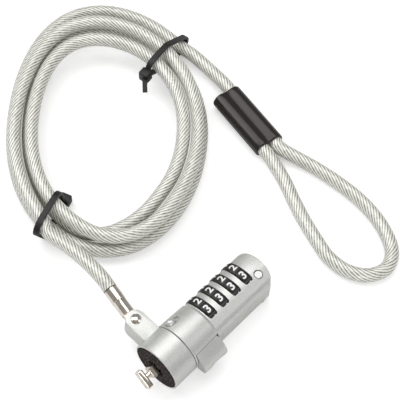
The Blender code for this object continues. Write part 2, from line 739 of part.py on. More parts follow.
def build_small_head_parts():
    washer = [
        (5.2, BARREL_FRONT + 0.45),
        (7.2, BARREL_FRONT + 0.45),
        (7.2, BARREL_FRONT + 0.05),
        (5.2, BARREL_FRONT + 0.05),
    ]
    turned_part("thrust_washer", washer, "brass", LOCK, steps=48)

    y, z = from_top(1.0, BEAD_ANGLE)
    tilt = math.atan2(y, z)
    bead_steps = [
        (BEAD_RADIUS * math.sin(a), 0.3 + BEAD_RADIUS * 0.75 * math.cos(a)) for a in np.linspace(0, math.pi / 2, 7)
    ]
    profile = [(0.0, bead_steps[0][1]), *bead_steps[1:], (BEAD_RADIUS, -1.3), (0.0, -1.3)]
    bead = turned_part("stop_bead", profile, "silver_light", LOCK, (BEAD_X, y * 8.9, z * 8.9), 32, "Z")
    bead.rotation_euler = (-tilt, 0.0, 0.0)

    button = [
        (0.0, BUTTON_TOP),
        (BUTTON_RADIUS - 0.2, BUTTON_TOP),
        (BUTTON_RADIUS, BUTTON_TOP - 0.2),
        (BUTTON_RADIUS, BUTTON_BOTTOM),
        (0.0, BUTTON_BOTTOM),
    ]
    turned_part("reset_button", button, "silver_light", LOCK, (BUTTON_X, BUTTON_Y, 0), 32, "Z")
    spiral = []
    for step in range(2 * 24 + 1):
        angle = 2 * math.pi * step / 24
        height = BUTTON_HOLE_BOTTOM + 0.3 + 1.0 * step / 48
        spiral.append((BUTTON_X + 1.1 * math.cos(angle), BUTTON_Y + 1.1 * math.sin(angle), height))
    tube_part("reset_spring", spiral, 0.18, "steel", LOCK, 1)


# ---------------------------------------------------------------- swivel, clevis and ferrule
def build_collar():
    profile = [
        (NECK_RADIUS + 0.1, COLLAR_BACK),
        (BARREL_RADIUS - 0.12, COLLAR_BACK),
        (BARREL_RADIUS, COLLAR_BACK - 0.12),
        (BARREL_RADIUS, NOSE_FRONT + 0.2),
        (BARREL_RADIUS - 0.2, NOSE_FRONT),
        (NOSE_RADIUS + 0.12, NOSE_FRONT),
        (NOSE_RADIUS + 0.12, NECK_FRONT),
        (NECK_RADIUS + 0.1, NECK_FRONT),
    ]
    collar = turned_part("swivel_collar", profile, "cast_silver", LOCK, steps=64)
    # the lug: a block from the collar with a rounded end about the pin, in the clevis frame
    root = -CLEVIS_PIN_RADIAL + NECK_RADIUS + 1.6
    rounded = arc((0.0, 0.0), CLEVIS_HALF_LENGTH, -90.0, 90.0, 16)
    lug_outline = [(root, -CLEVIS_HALF_LENGTH), *rounded, (root, CLEVIS_HALF_LENGTH)]
    lug_mesh = prism_mesh("lug_block", [lug_outline], -CLEVIS_HALF_HEIGHT, CLEVIS_HALF_HEIGHT)
    lug = add_part("lug_block", lug_mesh, None, CLEVIS)
    lug.rotation_euler = (0.0, -math.pi / 2, 0.0)
    add_bevel(lug, 0.35, segments=2, angle=50.0)
    boolean(collar, lug, "UNION")
    # the tongue's slot leaves a thin wall on the side of the pad
    near = CLEVIS_WALL - CLEVIS_HALF_LENGTH
    deep = -CLEVIS_HALF_LENGTH - 0.4
    cut_box(collar, (near, deep, -CLEVIS_SLOT_HALF), (6.0, 8.0, CLEVIS_SLOT_HALF), CLEVIS)
    cut_rod(collar, CLEVIS_PIN_RADIUS + 0.1, (0, 0, -8), (0, 0, 8), CLEVIS, segments=32)
    cut_rod(collar, PIN_HEAD_RADIUS + GAP, (0, 0, CLEVIS_HALF_HEIGHT - 0.6), (0, 0, 8), CLEVIS, segments=32)

    top = CLEVIS_HALF_HEIGHT + 0.1
    pin = [
        (0.0, top + 0.2),
        (PIN_HEAD_RADIUS - 0.5, top),
        (PIN_HEAD_RADIUS, top - 0.3),
        (PIN_HEAD_RADIUS, CLEVIS_HALF_HEIGHT - 0.35),
        (CLEVIS_PIN_RADIUS, CLEVIS_HALF_HEIGHT - 0.35),
        (CLEVIS_PIN_RADIUS, -CLEVIS_HALF_HEIGHT - 0.1),
        (CLEVIS_PIN_RADIUS - 0.3, -CLEVIS_HALF_HEIGHT - 0.3),
        (0.0, -CLEVIS_HALF_HEIGHT - 0.3),
    ]
    turned_part("clevis_pin", pin, "nickel", CLEVIS, steps=32, along="Z")


def build_ferrule():
    profile = [
        (0.0, FERRULE_END),
        (FERRULE_RADIUS - 0.15, FERRULE_END),
        (FERRULE_RADIUS, FERRULE_END - 0.15),
        (FERRULE_RADIUS, FERRULE_CRIMP_END + 0.15),
        (FERRULE_RADIUS - 0.15, FERRULE_CRIMP_END),
        (0.0, FERRULE_CRIMP_END),
    ]
    ferrule = turned_part("cable_ferrule", profile, "nickel", FERRULE, steps=40, along="Y")
    # the half next to the clevis is crimped to eight flats
    crimp_mesh = rod_mesh(
        "crimp_block", FERRULE_RADIUS, (0, FERRULE_START, 0), (0, FERRULE_CRIMP_END + 0.6, 0), segments=8
    )
    crimp = add_part("crimp_block", crimp_mesh, None, FERRULE)
    add_bevel(crimp, 0.12, segments=1, angle=30.0)
    boolean(ferrule, crimp, "UNION")
    neck = math.degrees(math.asin(TONGUE_NECK / TONGUE_RADIUS))
    root = FERRULE_START + 2.0
    eye = arc((0.0, 0.0), TONGUE_RADIUS, neck, 360.0 - neck, 24)
    outline = [*eye, (root, -TONGUE_NECK), (root, TONGUE_NECK)]
    tongue = add_part(
        "tongue_block", prism_mesh("tongue_block", [outline], -TONGUE_HALF, TONGUE_HALF), None, FERRULE
    )
    tongue.rotation_euler = (0.0, -math.pi / 2, 0.0)
    boolean(ferrule, tongue, "UNION")
    cut_rod(ferrule, CLEVIS_PIN_RADIUS + RUNNING, (0, 0, -4), (0, 0, 4), FERRULE, segments=32)


# ---------------------------------------------------------------- rope
def tuck(turn):
    """How much the upper strands give way inward where the lead joins the coil, from 0 to 1."""
    if turn < TUCK_FADE:
        return math.cos(math.pi / 2 * turn / TUCK_FADE) ** 2
    share = min(1.0, abs(turn - TUCK_SECOND_TURN) / TUCK_SECOND_FADE)
    return math.cos(math.pi / 2 * share) ** 2


def coil_lane(turn):
    """How many lanes in from the outside, and how high the layer is (1 above, 0 below), after a number of turns.

    The rope starts on the upper layer, spirals in at a steady rate, changes layer in the half turn about the
    reversal and spirals out again below.
    """
    middle = COIL_TURNS / 2
    inward = middle - abs(turn - middle)
    near = max(0.0, 1.0 - abs(turn - middle) / 0.25)
    inward += 0.08 * near**2 + TUCK_LANES * tuck(turn)
    share = min(1.0, max(0.0, (turn - (middle - 0.25)) / 0.5))
    upper = 1.0 - share * share * (3.0 - 2.0 * share)
    return inward, upper


def coil_point(turn):
    inward, upper = coil_lane(turn)
    angle = math.radians(COIL_START_ANGLE - 360.0 * turn)
    wide = COIL_HALF_WIDTH - COIL_LANE_WIDTHWISE * inward - COIL_TOP_INSET_WIDTHWISE * upper
    long = COIL_HALF_LENGTH - COIL_LANE_LENGTHWISE * inward - COIL_TOP_INSET_LENGTHWISE * upper
    across = wide * math.cos(angle) - COIL_SKEW * max(0.0, math.sin(angle)) ** 2
    along = long * math.sin(angle) + COIL_TOP_SHIFT * upper
    c, s = math.cos(COIL_LONG_AXIS), math.sin(COIL_LONG_AXIS)
    height = COIL_LOW_HEIGHT + (COIL_HIGH_HEIGHT - COIL_LOW_HEIGHT) * upper
    return np.array([COIL_CENTRE[0] + along * c + across * s, COIL_CENTRE[1] + along * s - across * c, height])


def unit(vector):
    return vector / np.linalg.norm(vector)


def coil_points():
    steps = int(round(COIL_TURNS * COIL_STEPS_PER_TURN))
    points = [coil_point(COIL_TURNS * i / steps) for i in range(steps + 1)]
    first = points[0] - unit(points[1] - points[0]) * 2 * CABLE_RADIUS
    last = points[-1] + unit(points[-1] - points[-2]) * 2 * CABLE_RADIUS
    return np.array([first, *points, last])


def least_gap(points, apart):
    """The least distance between surfaces of stretches of the rope more than half a turn apart."""
    dense = []
    for a, b in zip(points[:-1], points[1:]):
        for s in np.linspace(0.0, 1.0, 6, endpoint=False):
            dense.append(a + (b - a) * s)
    dense = np.array(dense)
    travelled = np.concatenate([[0.0], np.cumsum(np.linalg.norm(np.diff(dense, axis=0), axis=1))])
    least = 1e9
    for i in range(len(dense)):
        far = np.abs(travelled - travelled[i]) > apart
        least = min(least, float(np.linalg.norm(dense[far] - dense[i], axis=1).min()))
    return least - 2 * CABLE_RADIUS


def ferrule_mouth():
    """The centre of the ferrule's end face, and the way the rope leaves it."""
    pin = np.array([
        CLEVIS_X,
        CLEVIS_PIN_RADIAL * math.cos(CLEVIS_RISE),
        CLEVIS_PIN_RADIAL * math.sin(CLEVIS_RISE) + AXIS_HEIGHT,
    ])
    ahead = math.cos(FERRULE_TURN)
    out = np.array([-math.sin(FERRULE_TURN), ahead * math.cos(CLEVIS_RISE), ahead * math.sin(CLEVIS_RISE)])
    return pin + out * FERRULE_END, out


def sleeve_point(along, side):
    c, s = math.cos(SLEEVE_HEADING), math.sin(SLEEVE_HEADING)
    return np.array([
        SLEEVE_START[0] + along * c - side * s,
        SLEEVE_START[1] + along * s + side * c,
        SLEEVE_HEIGHT,
    ])


def rope_routes():
    """The rope's four stretches, each as the points of its centre line."""
    coil = coil_points()
    mouth, out = ferrule_mouth()
    start = unit(coil[1] - coil[0])
    end = unit(coil[-1] - coil[-2])
    lead_chosen = [
        mouth + out * GAP,
        mouth + out * (GAP + 5.0),
        *LEAD_POINTS,
        coil[0] - start * (GAP + 4.0),
        coil[0] - start * GAP,
    ]
    low = CABLE_RADIUS + FLOOR_GAP
    tail_chosen = [
        coil[-1] + end * GAP,
        coil[-1] + end * (GAP + 5.0),
        sleeve_point(-6.0, ROPE_SPREAD),
        sleeve_point(0.0, ROPE_SPREAD),
        sleeve_point(CRIMP_START - GAP, ROPE_SPREAD),
    ]
    loop_chosen = [
        sleeve_point(CRIMP_END + GAP, -ROPE_SPREAD),
        sleeve_point(SLEEVE_LENGTH, -ROPE_SPREAD),
        sleeve_point(SLEEVE_LENGTH + 4.0, -ROPE_SPREAD - 0.2),
        *[(x, y, low) for x, y in LOOP_POINTS],
        sleeve_point(SLEEVE_LENGTH + 4.0, ROPE_SPREAD + 0.2),
        sleeve_point(SLEEVE_LENGTH, ROPE_SPREAD),
        sleeve_point(CRIMP_END + GAP, ROPE_SPREAD),
    ]
    return smooth_path(lead_chosen, 5.0), coil, smooth_path(tail_chosen, 5.0), smooth_path(loop_chosen, 5.0)


def build_rope():
    lead, coil, tail, loop = rope_routes()
    tube_part("cable_lead", lead, CABLE_RADIUS, "rope", ROOM, 2)
    tube_part("cable_coil", coil, CABLE_RADIUS, "rope", ROOM, 1)
    tube_part("cable_tail", tail, CABLE_RADIUS, "rope", ROOM, 2)
    tube_part("cable_loop", loop, CABLE_RADIUS, "rope", ROOM, 2)
    print("coil: least gap to itself %.2f mm" % least_gap(coil, 100.0))
    for name, points in (("lead", lead), ("coil", coil), ("tail", tail), ("loop", loop)):
        print("length of the %s %.1f mm" % (name, path_length(points)))


def stadium(spread, radius, steps=12):
    """An outline of two half circles about points spread to either side, joined by straight lines."""
    return arc((spread, 0.0), radius, -90.0, 90.0, steps) + arc((-spread, 0.0), radius, 90.0, 270.0, steps)


def build_sleeve():
    bore = CABLE_RADIUS + GAP
    outer = stadium(ROPE_SPREAD, bore + SLEEVE_WALL)
    inner = stadium(ROPE_SPREAD, bore)
    add_part(
        "crimp_sleeve", prism_mesh("crimp_sleeve", [outer, inner], 0.0, SLEEVE_LENGTH), "black_vinyl", SLEEVE
    )
    block = prism_mesh("crimp_ferrule", [stadium(ROPE_SPREAD, bore - GAP)], CRIMP_START, CRIMP_END)
    crimp = add_part("crimp_ferrule", block, "steel", SLEEVE)
    add_bevel(crimp, 0.3, segments=1, angle=60.0)


# ---------------------------------------------------------------- cable ties
def hull(points):
    """The convex outline round a set of flat points, anticlockwise."""
    ordered = sorted(set((round(x, 5), round(y, 5)) for x, y in points))

    def half(sequence):
        kept = []
        for p in sequence:
            while len(kept) > 1:
                ax, ay = kept[-1][0] - kept[-2][0], kept[-1][1] - kept[-2][1]
                bx, by = p[0] - kept[-2][0], p[1] - kept[-2][1]
                if ax * by - ay * bx > 0:
                    break
                kept.pop()
            kept.append(p)
        return kept[:-1]

    return half(ordered) + half(reversed(ordered))


def strap_crossings(origin, inward, along):
    """Where each strand crosses the strap's plane: its distance inward, its height and its slant to the plane."""
    lead, coil, tail, _ = rope_routes()
    crossings = []
    for points in (lead, coil, tail):
        for a, b in zip(points[:-1], points[1:]):
            from_a, from_b = (a - origin) @ along, (b - origin) @ along
            if from_a * from_b > 0.0 or np.linalg.norm((a - origin)[:2]) > COIL_HALF_WIDTH:
                continue
            centre = a + (b - a) * from_a / (from_a - from_b)
            slant = abs(unit(b - a) @ along)
            crossings.append((float((centre - origin) @ inward), float(centre[2]), slant))
    return crossings


def build_tie(name, angle, strap_slant, head_height, tail_length):
    """A strap round the strands that pass an angle of the coil, with its head on the coil's inner side."""
    turn = math.floor(COIL_TURNS) + (COIL_START_ANGLE - angle) / 360.0
    turn -= math.floor(turn / COIL_TURNS)
    step = 0.5 / COIL_STEPS_PER_TURN
    heading = unit((coil_point(turn + step) - coil_point(turn - step)) * np.array([1, 1, 0]))
    turned = Matrix.Rotation(math.radians(strap_slant), 3, "Z")
    along = np.array(turned @ Vector(heading))
    inward = np.array([along[1], -along[0], 0.0])
    origin = coil_point(turn) * np.array([1, 1, 0])
    circle = np.radians(np.arange(0.0, 360.0, 15.0))
    crossings = strap_crossings(origin, inward, along)

    def ring(radius):
        around = []
        for inside, height, slant in crossings:
            half_width = radius / slant + TIE_WIDTH / 2 * math.sqrt(max(0.0, 1.0 / slant**2 - 1.0))
            around += [(-inside + half_width * math.cos(a), height + radius * math.sin(a)) for a in circle]
        return hull(around)

    inner_radius = CABLE_RADIUS + TIE_SLACK
    tie_frame = frame(name + "_frame", origin, rotation=(0.0, 0.0, math.atan2(along[1], along[0])), parent=ROOM)
    outlines = [ring(inner_radius + TIE_THICKNESS), ring(inner_radius)]
    tie = add_part(name, prism_mesh(name, outlines, -TIE_WIDTH / 2, TIE_WIDTH / 2), "black_vinyl", tie_frame)
    edge = min(y for y, _ in outlines[0])
    low, high = head_height
    half = TIE_HEAD_WIDTH / 2
    corners = (-half, edge - TIE_HEAD_DEPTH, low), (half, edge + 0.7, high)
    block = add_part(name + "_head", box_mesh(name + "_head", *corners), None, tie_frame)
    add_bevel(block, 0.5, segments=2)
    boolean(tie, block, "UNION")
    if tail_length > 0.0:
        middle = (low + high) / 2
        strip = box_mesh(name + "_end", (-0.9, -tail_length - 1.2, middle - 0.5), (0.9, 0.0, middle + 0.5))
        end = add_part(name + "_end", strip, None, tie_frame, (0.0, edge - TIE_HEAD_DEPTH + 1.2, 0.0))
        end.rotation_euler = (0.0, 0.0, math.radians(TIE_TAIL_TURN))
        boolean(tie, end, "UNION")


build_housing()
build_cover()
build_screws()
build_nose()
build_locking_bar()
build_lever()
build_dials()
build_small_head_parts()
build_collar()
build_ferrule()
build_rope()
build_sleeve()
build_tie("cable_tie_upper", UPPER_TIE_ANGLE, UPPER_TIE_SLANT, (6.2, 10.8), 6.0)
build_tie("cable_tie_lower", LOWER_TIE_ANGLE, LOWER_TIE_SLANT, (0.4, 4.2), 0.0)

for item in PARTS.objects:
    if item.type == "MESH":
        item.data.shade_smooth()
        item.data.set_sharp_from_angle(angle=math.radians(35.0))
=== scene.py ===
"""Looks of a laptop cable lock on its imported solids: stage, sleeve, stranded rope, head, dials and pad."""

import math

import bmesh
import bpy
import numpy as np
from mathutils import Matrix, Vector, noise


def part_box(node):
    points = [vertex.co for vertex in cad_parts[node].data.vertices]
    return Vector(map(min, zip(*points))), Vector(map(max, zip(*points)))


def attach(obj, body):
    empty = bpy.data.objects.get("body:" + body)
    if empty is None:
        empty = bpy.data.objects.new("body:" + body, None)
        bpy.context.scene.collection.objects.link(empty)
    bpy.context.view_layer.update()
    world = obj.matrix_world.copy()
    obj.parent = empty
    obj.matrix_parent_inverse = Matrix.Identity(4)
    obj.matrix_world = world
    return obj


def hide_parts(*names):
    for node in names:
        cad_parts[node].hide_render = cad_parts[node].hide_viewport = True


bl_info = {
    "name": "Laptop cable lock",
    "version": (1, 0, 0),
    "blender": (4, 5, 0),
    "location": "View3D > Sidebar > Cable lock",
    "description": "Dresses the packed solids of a laptop cable lock and lights them",
    "category": "Object",
}

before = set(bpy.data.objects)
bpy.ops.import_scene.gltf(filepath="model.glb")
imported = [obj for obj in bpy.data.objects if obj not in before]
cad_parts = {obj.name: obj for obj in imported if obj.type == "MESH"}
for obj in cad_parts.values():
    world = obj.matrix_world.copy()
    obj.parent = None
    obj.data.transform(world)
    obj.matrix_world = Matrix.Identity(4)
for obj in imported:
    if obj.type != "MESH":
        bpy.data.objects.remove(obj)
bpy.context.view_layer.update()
MM = 0.001

# The middle of the foam pad's front plane, on the floor. The routes below are measured from it.
PAD_LOW, PAD_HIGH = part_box("foam_pad")
ORIGIN = Vector((PAD_LOW.x, (PAD_LOW.y + PAD_HIGH.y) / 2, 0.0))
LOCK_AXIS = Vector((PAD_LOW.x, (PAD_LOW.y + PAD_HIGH.y) / 2, (PAD_LOW.z + PAD_HIGH.z) / 2))

# Route of the rope: lengths in millimetres, and the angle at which the coil starts in degrees
CABLE_RADIUS = 2.5
GAP = 0.3
FLOOR_GAP = 0.1
AXIS_HEIGHT = 9.2
CLEVIS_X = 6.3
CLEVIS_RISE = math.radians(8.0)
CLEVIS_PIN_RADIAL = 15.4
FERRULE_TURN = math.radians(-10.4)
FERRULE_END = 14.4
FERRULE_STRAIGHT = 5.0
LEAD_POINTS = [(10.9, 43.5, 13.2), (11.3, 52.5, 11.6)]
COIL_CENTRE = (59.0, 80.5)
COIL_LONG_AXIS = math.radians(43.3)
COIL_HALF_LENGTH = 57.0
COIL_HALF_WIDTH = 38.0
COIL_LANE_LENGTHWISE = 8.5
COIL_LANE_WIDTHWISE = 5.75
COIL_TOP_INSET_LENGTHWISE = 4.0
COIL_TOP_INSET_WIDTHWISE = 2.4
COIL_TOP_SHIFT = -4.0
COIL_SKEW = 6.0
COIL_TURNS = 3.5
COIL_START_ANGLE = 225.0
COIL_STEPS_PER_TURN = 24
COIL_ENTRY_STRAIGHT = 4.0
COIL_EXIT_STRAIGHT = 5.0
LAYER_CHANGE_TURNS = 0.5
LAYER_CHANGE_LANES = 0.08
TUCK_LANES = 0.37
TUCK_FADE = 0.15
TUCK_SECOND_TURN = 0.95
TUCK_SECOND_FADE = 0.3
# Where the strands lie closer than in an even spiral: turn, turns until it fades, millimetres outward
COIL_SETTLING = [
    (0.5, 0.12, 0.5),
    (0.84, 0.13, 2.0),
    (1.5, 0.15, 1.2),
    (1.91, 0.12, 2.2),
    (2.93, 0.12, -0.9),
    (3.45, 0.15, -0.9),
]
COIL_LOW_HEIGHT = 3.85
COIL_HIGH_HEIGHT = 9.35
SLEEVE_START = (99.2, 60.4)
SLEEVE_HEADING = math.radians(-102.1)
SLEEVE_LENGTH = 27.5
SLEEVE_HEIGHT = 3.45
SLEEVE_ENTRY_STRAIGHT = 6.0
SLEEVE_EXIT_STRAIGHT = 4.0
SLEEVE_EXIT_FLARE = 0.2
ROPE_SPREAD = 2.65
CRIMP_START = 5.0
CRIMP_END = 21.0
LOOP_POINTS = [
    (86.2, 19.9), (82.2, 12.0), (78.4, 3.6), (75.3, -4.6), (73.0, -12.0), (73.3, -20.0), (77.2, -26.6),
    (83.6, -29.2), (90.0, -26.4), (94.4, -19.8), (97.3, -11.6), (98.7, -2.4), (98.7, 6.6), (97.9, 16.0),
]

# Dials, in millimetres and degrees. The cuts across a digit lie a share of its size apart.
DIAL_RADIUS = 7.4
DIAL_COUNT = 4
DIGITS_PER_DIAL = 10
DIAL_SETTING = 10.0
DIGIT_AT_SETTING = 3
DIGIT_CUTS_EACH_WAY = 3
DIGIT_CUT_SPACING = 0.1

# Fineness of the meshes
ROUTE_SAMPLES = 24
ROUTE_SPACING = 0.8
CORNER_STEPS = 4
SLEEVE_LENGTH_POINTS = 12
SLEEVE_ROUND_STEPS = 12
SLEEVE_DIP_POINTS = 10
PAD_STEPS_AROUND = 96
PAD_RINGS = 16
FOAM_CELL = 0.55 * MM
SOLID_WELD = 0.002 * MM
DIGIT_WELD = 0.0005 * MM
SOLID_EDGE_ANGLE = math.radians(32.0)
PIECE_EDGE_ANGLE = math.radians(35.0)
ROPE_EDGE_ANGLE = math.radians(60.0)

# The point on the floor in the middle of the picture, in millimetres, measured as the routes are
LOOK_AT = (60.78, 37.47, 0.0)
FLOOR_HALF_SIZE = 3.0
# Lamps: name, metres to the right, ahead and up from that point, and size in metres
LAMPS = [
    ("key", (-0.55, 0.25, 0.6), 0.5),
    ("side", (0.6, -0.1, 0.5), 0.35),
    ("front", (0.1, -0.7, 0.35), 0.4),
    ("top", (0.0, 0.25, 0.85), 0.7),
]


# ---------------------------------------------------------------- materials
def srgb(code):
    """A hex colour such as d9dad6 as linear red, green, blue and alpha."""
    def linear(value):
        return value / 12.92 if value <= 0.04045 else ((value + 0.055) / 1.055) ** 2.4

    return (*[linear(int(code[i : i + 2], 16) / 255) for i in (0, 2, 4)], 1.0)


def add_node(tree, kind, values=None, links=None, **settings):
    """Adds one node, sets its properties and inputs, and links inputs from other nodes' outputs."""
    node = tree.nodes.new(kind)
    for name, value in settings.items():
        setattr(node, name, value)
    for name, value in (values or {}).items():
        node.inputs[name].default_value = value
    for name, source in (links or {}).items():
        tree.links.new(source, node.inputs[name])
    return node


def calculate(tree, operation, *terms):
    """One Math node on numbers or other nodes' outputs."""
    node = add_node(tree, "ShaderNodeMath", operation=operation)
    for socket, term in zip(node.inputs, terms):
        if isinstance(term, float):
            socket.default_value = term
        else:
            tree.links.new(term, socket)
    return node.outputs["Value"]


def object_noise(tree, size_mm, detail):
    """Noise over the object's own coordinates, with features of about a size."""
    where = add_node(tree, "ShaderNodeTexCoord").outputs["Object"]
    values = {"Scale": 1 / (size_mm * MM), "Detail": detail}
    return add_node(tree, "ShaderNodeTexNoise", values, {"Vector": where})


def raise_surface(tree, shader, height, depth_mm, strength):
    """Bump on the shader's own surface. A clear coat over it stays smooth."""
    values = {"Strength": strength, "Distance": depth_mm * MM}
    bump = add_node(tree, "ShaderNodeBump", values, {"Height": height})
    tree.links.new(bump.outputs["Normal"], shader.inputs["Normal"])


def new_material(name, **shader_values):
    """A material, its node tree and its shader, whose named inputs get their values."""
    material = bpy.data.materials.new(name)
    material.use_nodes = True
    tree = material.node_tree
    shader = tree.nodes["Principled BSDF"]
    for key, value in shader_values.items():
        shader.inputs[key.replace("_", " ")].default_value = value
    return material, tree, shader


def ramp(tree, factor, stops):
    """A colour that runs through stops of position and hex colour."""
    node = add_node(tree, "ShaderNodeValToRGB", links={"Fac": factor})
    elements = node.color_ramp.elements
    while len(elements) < len(stops):
        elements.new(0.5)
    for element, (position, colour) in zip(elements, stops):
        element.position = position
        element.color = srgb(colour)
    return node.outputs["Color"]


def painted_zinc(name, light, dark, grain_mm, roughness):
    """Die-cast zinc under satin silver lacquer: an even pale grey with a very fine metallic grain."""
    material, tree, shader = new_material(name, Metallic=0.7, Roughness=roughness)
    grain = object_noise(tree, grain_mm, 3.0).outputs["Fac"]
    tree.links.new(ramp(tree, grain, [(0.3, dark), (0.7, light)]), shader.inputs["Base Color"])
    raise_surface(tree, shader, grain, 0.02, 0.1)
    return material


def plated_nickel(name, light, dark, roughness):
    """Bright metal plate with faint wear that dulls and darkens it in small patches."""
    material, tree, shader = new_material(name, Metallic=1.0)
    wear = object_noise(tree, 2.5, 3.0).outputs["Fac"]
    tree.links.new(ramp(tree, wear, [(0.3, dark), (0.55, light)]), shader.inputs["Base Color"])
    dulled = calculate(tree, "MULTIPLY_ADD", wear, roughness, roughness * 0.5)
    tree.links.new(dulled, shader.inputs["Roughness"])
    return material


def moulded_plastic(name, colour, lift, roughness, bump_mm):
    """Injection-moulded plastic: even colour, soft gloss, and a fine uneven skin."""
    material, tree, shader = new_material(name, Roughness=roughness, IOR=1.5)
    skin = object_noise(tree, bump_mm, 2.0).outputs["Fac"]
    tree.links.new(ramp(tree, skin, [(0.3, colour), (0.75, lift)]), shader.inputs["Base Color"])
    raise_surface(tree, shader, skin, 0.03, 0.12)
    return material


def printed_paint(name, colour, worn):
    """Matt white printing ink, a little thinner in places."""
    material, tree, shader = new_material(name, Roughness=0.6)
    wear = object_noise(tree, 0.3, 2.0).outputs["Fac"]
    tree.links.new(ramp(tree, wear, [(0.25, worn), (0.45, colour)]), shader.inputs["Base Color"])
    raise_surface(tree, shader, wear, 0.01, 0.2)
    return material


def cellular_foam(name):
    """Dense neoprene foam: matt brown-black, pitted with fine open cells and pale specks."""
    material, tree, shader = new_material(name, Roughness=0.95, IOR=1.4)
    where = add_node(tree, "ShaderNodeTexCoord").outputs["Object"]
    cells = add_node(tree, "ShaderNodeTexVoronoi", {"Scale": 1 / (0.5 * MM)}, {"Vector": where})
    specks = object_noise(tree, 0.6, 3.0).outputs["Fac"]
    colour = ramp(tree, specks, [(0.36, "14100f"), (0.55, "332b28"), (0.75, "83766f")])
    tree.links.new(colour, shader.inputs["Base Color"])
    raise_surface(tree, shader, cells.outputs["Distance"], 0.2, 0.7)
    return material


def coated_strands(name, strands, lay_length):
    """Galvanised steel strands under clear vinyl: pale wires, thin grooves darkened with painted shade, small
    painted glints and one glossy coat.
    """
    material, tree, shader = new_material(
        name, Metallic=0.12, Roughness=0.4, Coat_Weight=1.0, Coat_Roughness=0.07, Coat_Tint=srgb("fdfdfa")
    )
    uv = add_node(tree, "ShaderNodeUVMap", uv_map="rope").outputs["UV"]
    split = add_node(tree, "ShaderNodeSeparateXYZ", links={"Vector": uv})
    # u counts turns round the rope and v the metres along it; the strands turn to the right
    turns = calculate(tree, "MULTIPLY", split.outputs["Y"], 1.0 / lay_length)
    round_rope = calculate(tree, "SUBTRACT", split.outputs["X"], turns)
    stray = calculate(tree, "MULTIPLY_ADD", object_noise(tree, 5.0, 2.0).outputs["Fac"], 0.5, -0.25)
    phase = calculate(tree, "MULTIPLY_ADD", round_rope, float(strands), stray)
    # the strands' relief, low in the grooves between them; the colour paints shade there, and the bump uses it
    # too
    ridge = calculate(tree, "MULTIPLY", calculate(tree, "PINGPONG", phase, 0.5), 2.0)
    # the finer wires of each strand run nearly along the rope
    wire_phase = calculate(tree, "MULTIPLY", split.outputs["X"], 3.0 * strands)
    wire = calculate(tree, "PINGPONG", calculate(tree, "SUBTRACT", wire_phase, turns), 0.5)
    # painted glints: noise that lightens and darkens the wires in small spots, as light catching them would
    painted_glint = object_noise(tree, 1.1, 3.0).outputs["Fac"]
    lit = calculate(tree, "MULTIPLY_ADD", wire, 0.3, calculate(tree, "MULTIPLY_ADD", painted_glint, 0.7, -0.42))
    level = calculate(tree, "ADD", ridge, lit)
    # the dark end paints shade into the grooves between strands, the pale end paints glints on the wires
    stops = [(0.0, "5d5c54"), (0.16, "95958b"), (0.4, "dbdbd4"), (0.75, "f3f3ee"), (1.0, "fdfdfa")]
    tree.links.new(ramp(tree, level, stops), shader.inputs["Base Color"])
    raise_surface(tree, shader, ridge, 0.2, 0.4)
    return material


def dress(nodes, material):
    """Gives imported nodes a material, welds their loose triangles and smooths them up to their edges."""
    for node in nodes:
        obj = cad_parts[node]
        obj.data.materials.clear()
        obj.data.materials.append(material)
        weld = obj.modifiers.new("weld", "WELD")
        weld.merge_threshold = SOLID_WELD
        smooth = obj.modifiers.new("smooth", "NODES")
        smooth.node_group = smooth_group()


def smooth_group():
    """Geometry nodes that shade a mesh smooth and keep its sharper edges."""
    name = "smooth_by_angle"
    if name in bpy.data.node_groups:
        return bpy.data.node_groups[name]
    group = bpy.data.node_groups.new(name, "GeometryNodeTree")
    group.interface.new_socket("Geometry", in_out="INPUT", socket_type="NodeSocketGeometry")
    group.interface.new_socket("Geometry", in_out="OUTPUT", socket_type="NodeSocketGeometry")
    start = add_node(group, "NodeGroupInput")
    angle = add_node(group, "GeometryNodeInputMeshEdgeAngle")
    gentle = add_node(
        group,
        "FunctionNodeCompare",
        {"B": SOLID_EDGE_ANGLE},
        {"A": angle.outputs["Unsigned Angle"]},
        data_type="FLOAT",
        operation="LESS_THAN",
    )
    faces = add_node(
        group,
        "GeometryNodeSetShadeSmooth",
        {"Shade Smooth": True},
        {"Geometry": start.outputs[0]},
        domain="FACE",
    )
    edges = add_node(
        group,
        "GeometryNodeSetShadeSmooth",
        {},
        {"Geometry": faces.outputs[0], "Shade Smooth": gentle.outputs["Result"]},
        domain="EDGE",
    )
    add_node(group, "NodeGroupOutput", links={"Geometry": edges.outputs[0]})
    return group


# ---------------------------------------------------------------- shapes
def place(x, y, z):
    """A point given in millimetres from the pad's middle on the floor, in the frame."""
    return ORIGIN + Vector((x, y, z)) * MM


def finish_piece(name, bm, material, body, smooth=True):
    """Turns a finished mesh into an object that rides on a body."""
    mesh = bpy.data.meshes.new(name)
    bm.to_mesh(mesh)
    bm.free()
    mesh.materials.append(material)
    if smooth:
        mesh.shade_smooth()
        mesh.set_sharp_from_angle(angle=PIECE_EDGE_ANGLE)
    obj = bpy.data.objects.new(name, mesh)
    bpy.context.scene.collection.objects.link(obj)
    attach(obj, body)
    return obj


def smooth_path(points, spacing):
    """Points at an even spacing on a smooth curve through the chosen ones."""
    points = np.array(points, float)
    ghosts = np.vstack([2 * points[0] - points[1], points, 2 * points[-1] - points[-2]])
    share = np.linspace(0.0, 1.0, ROUTE_SAMPLES, endpoint=False)[:, None]
    fine = []
    for a, b, c, d in zip(ghosts[:-3], ghosts[1:-2], ghosts[2:-1], ghosts[3:]):
        square = (2 * a - 5 * b + 4 * c - d) * share**2
        cube = (3 * b - a - 3 * c + d) * share**3
        fine.append(b + 0.5 * ((c - a) * share + square + cube))
    return resample(np.vstack([*fine, points[-1:]]), spacing)


def distances_along(points):
    """How far each point of a line is from the first, along the line."""
    return np.concatenate([[0.0], np.cumsum(np.linalg.norm(np.diff(points, axis=0), axis=1))])


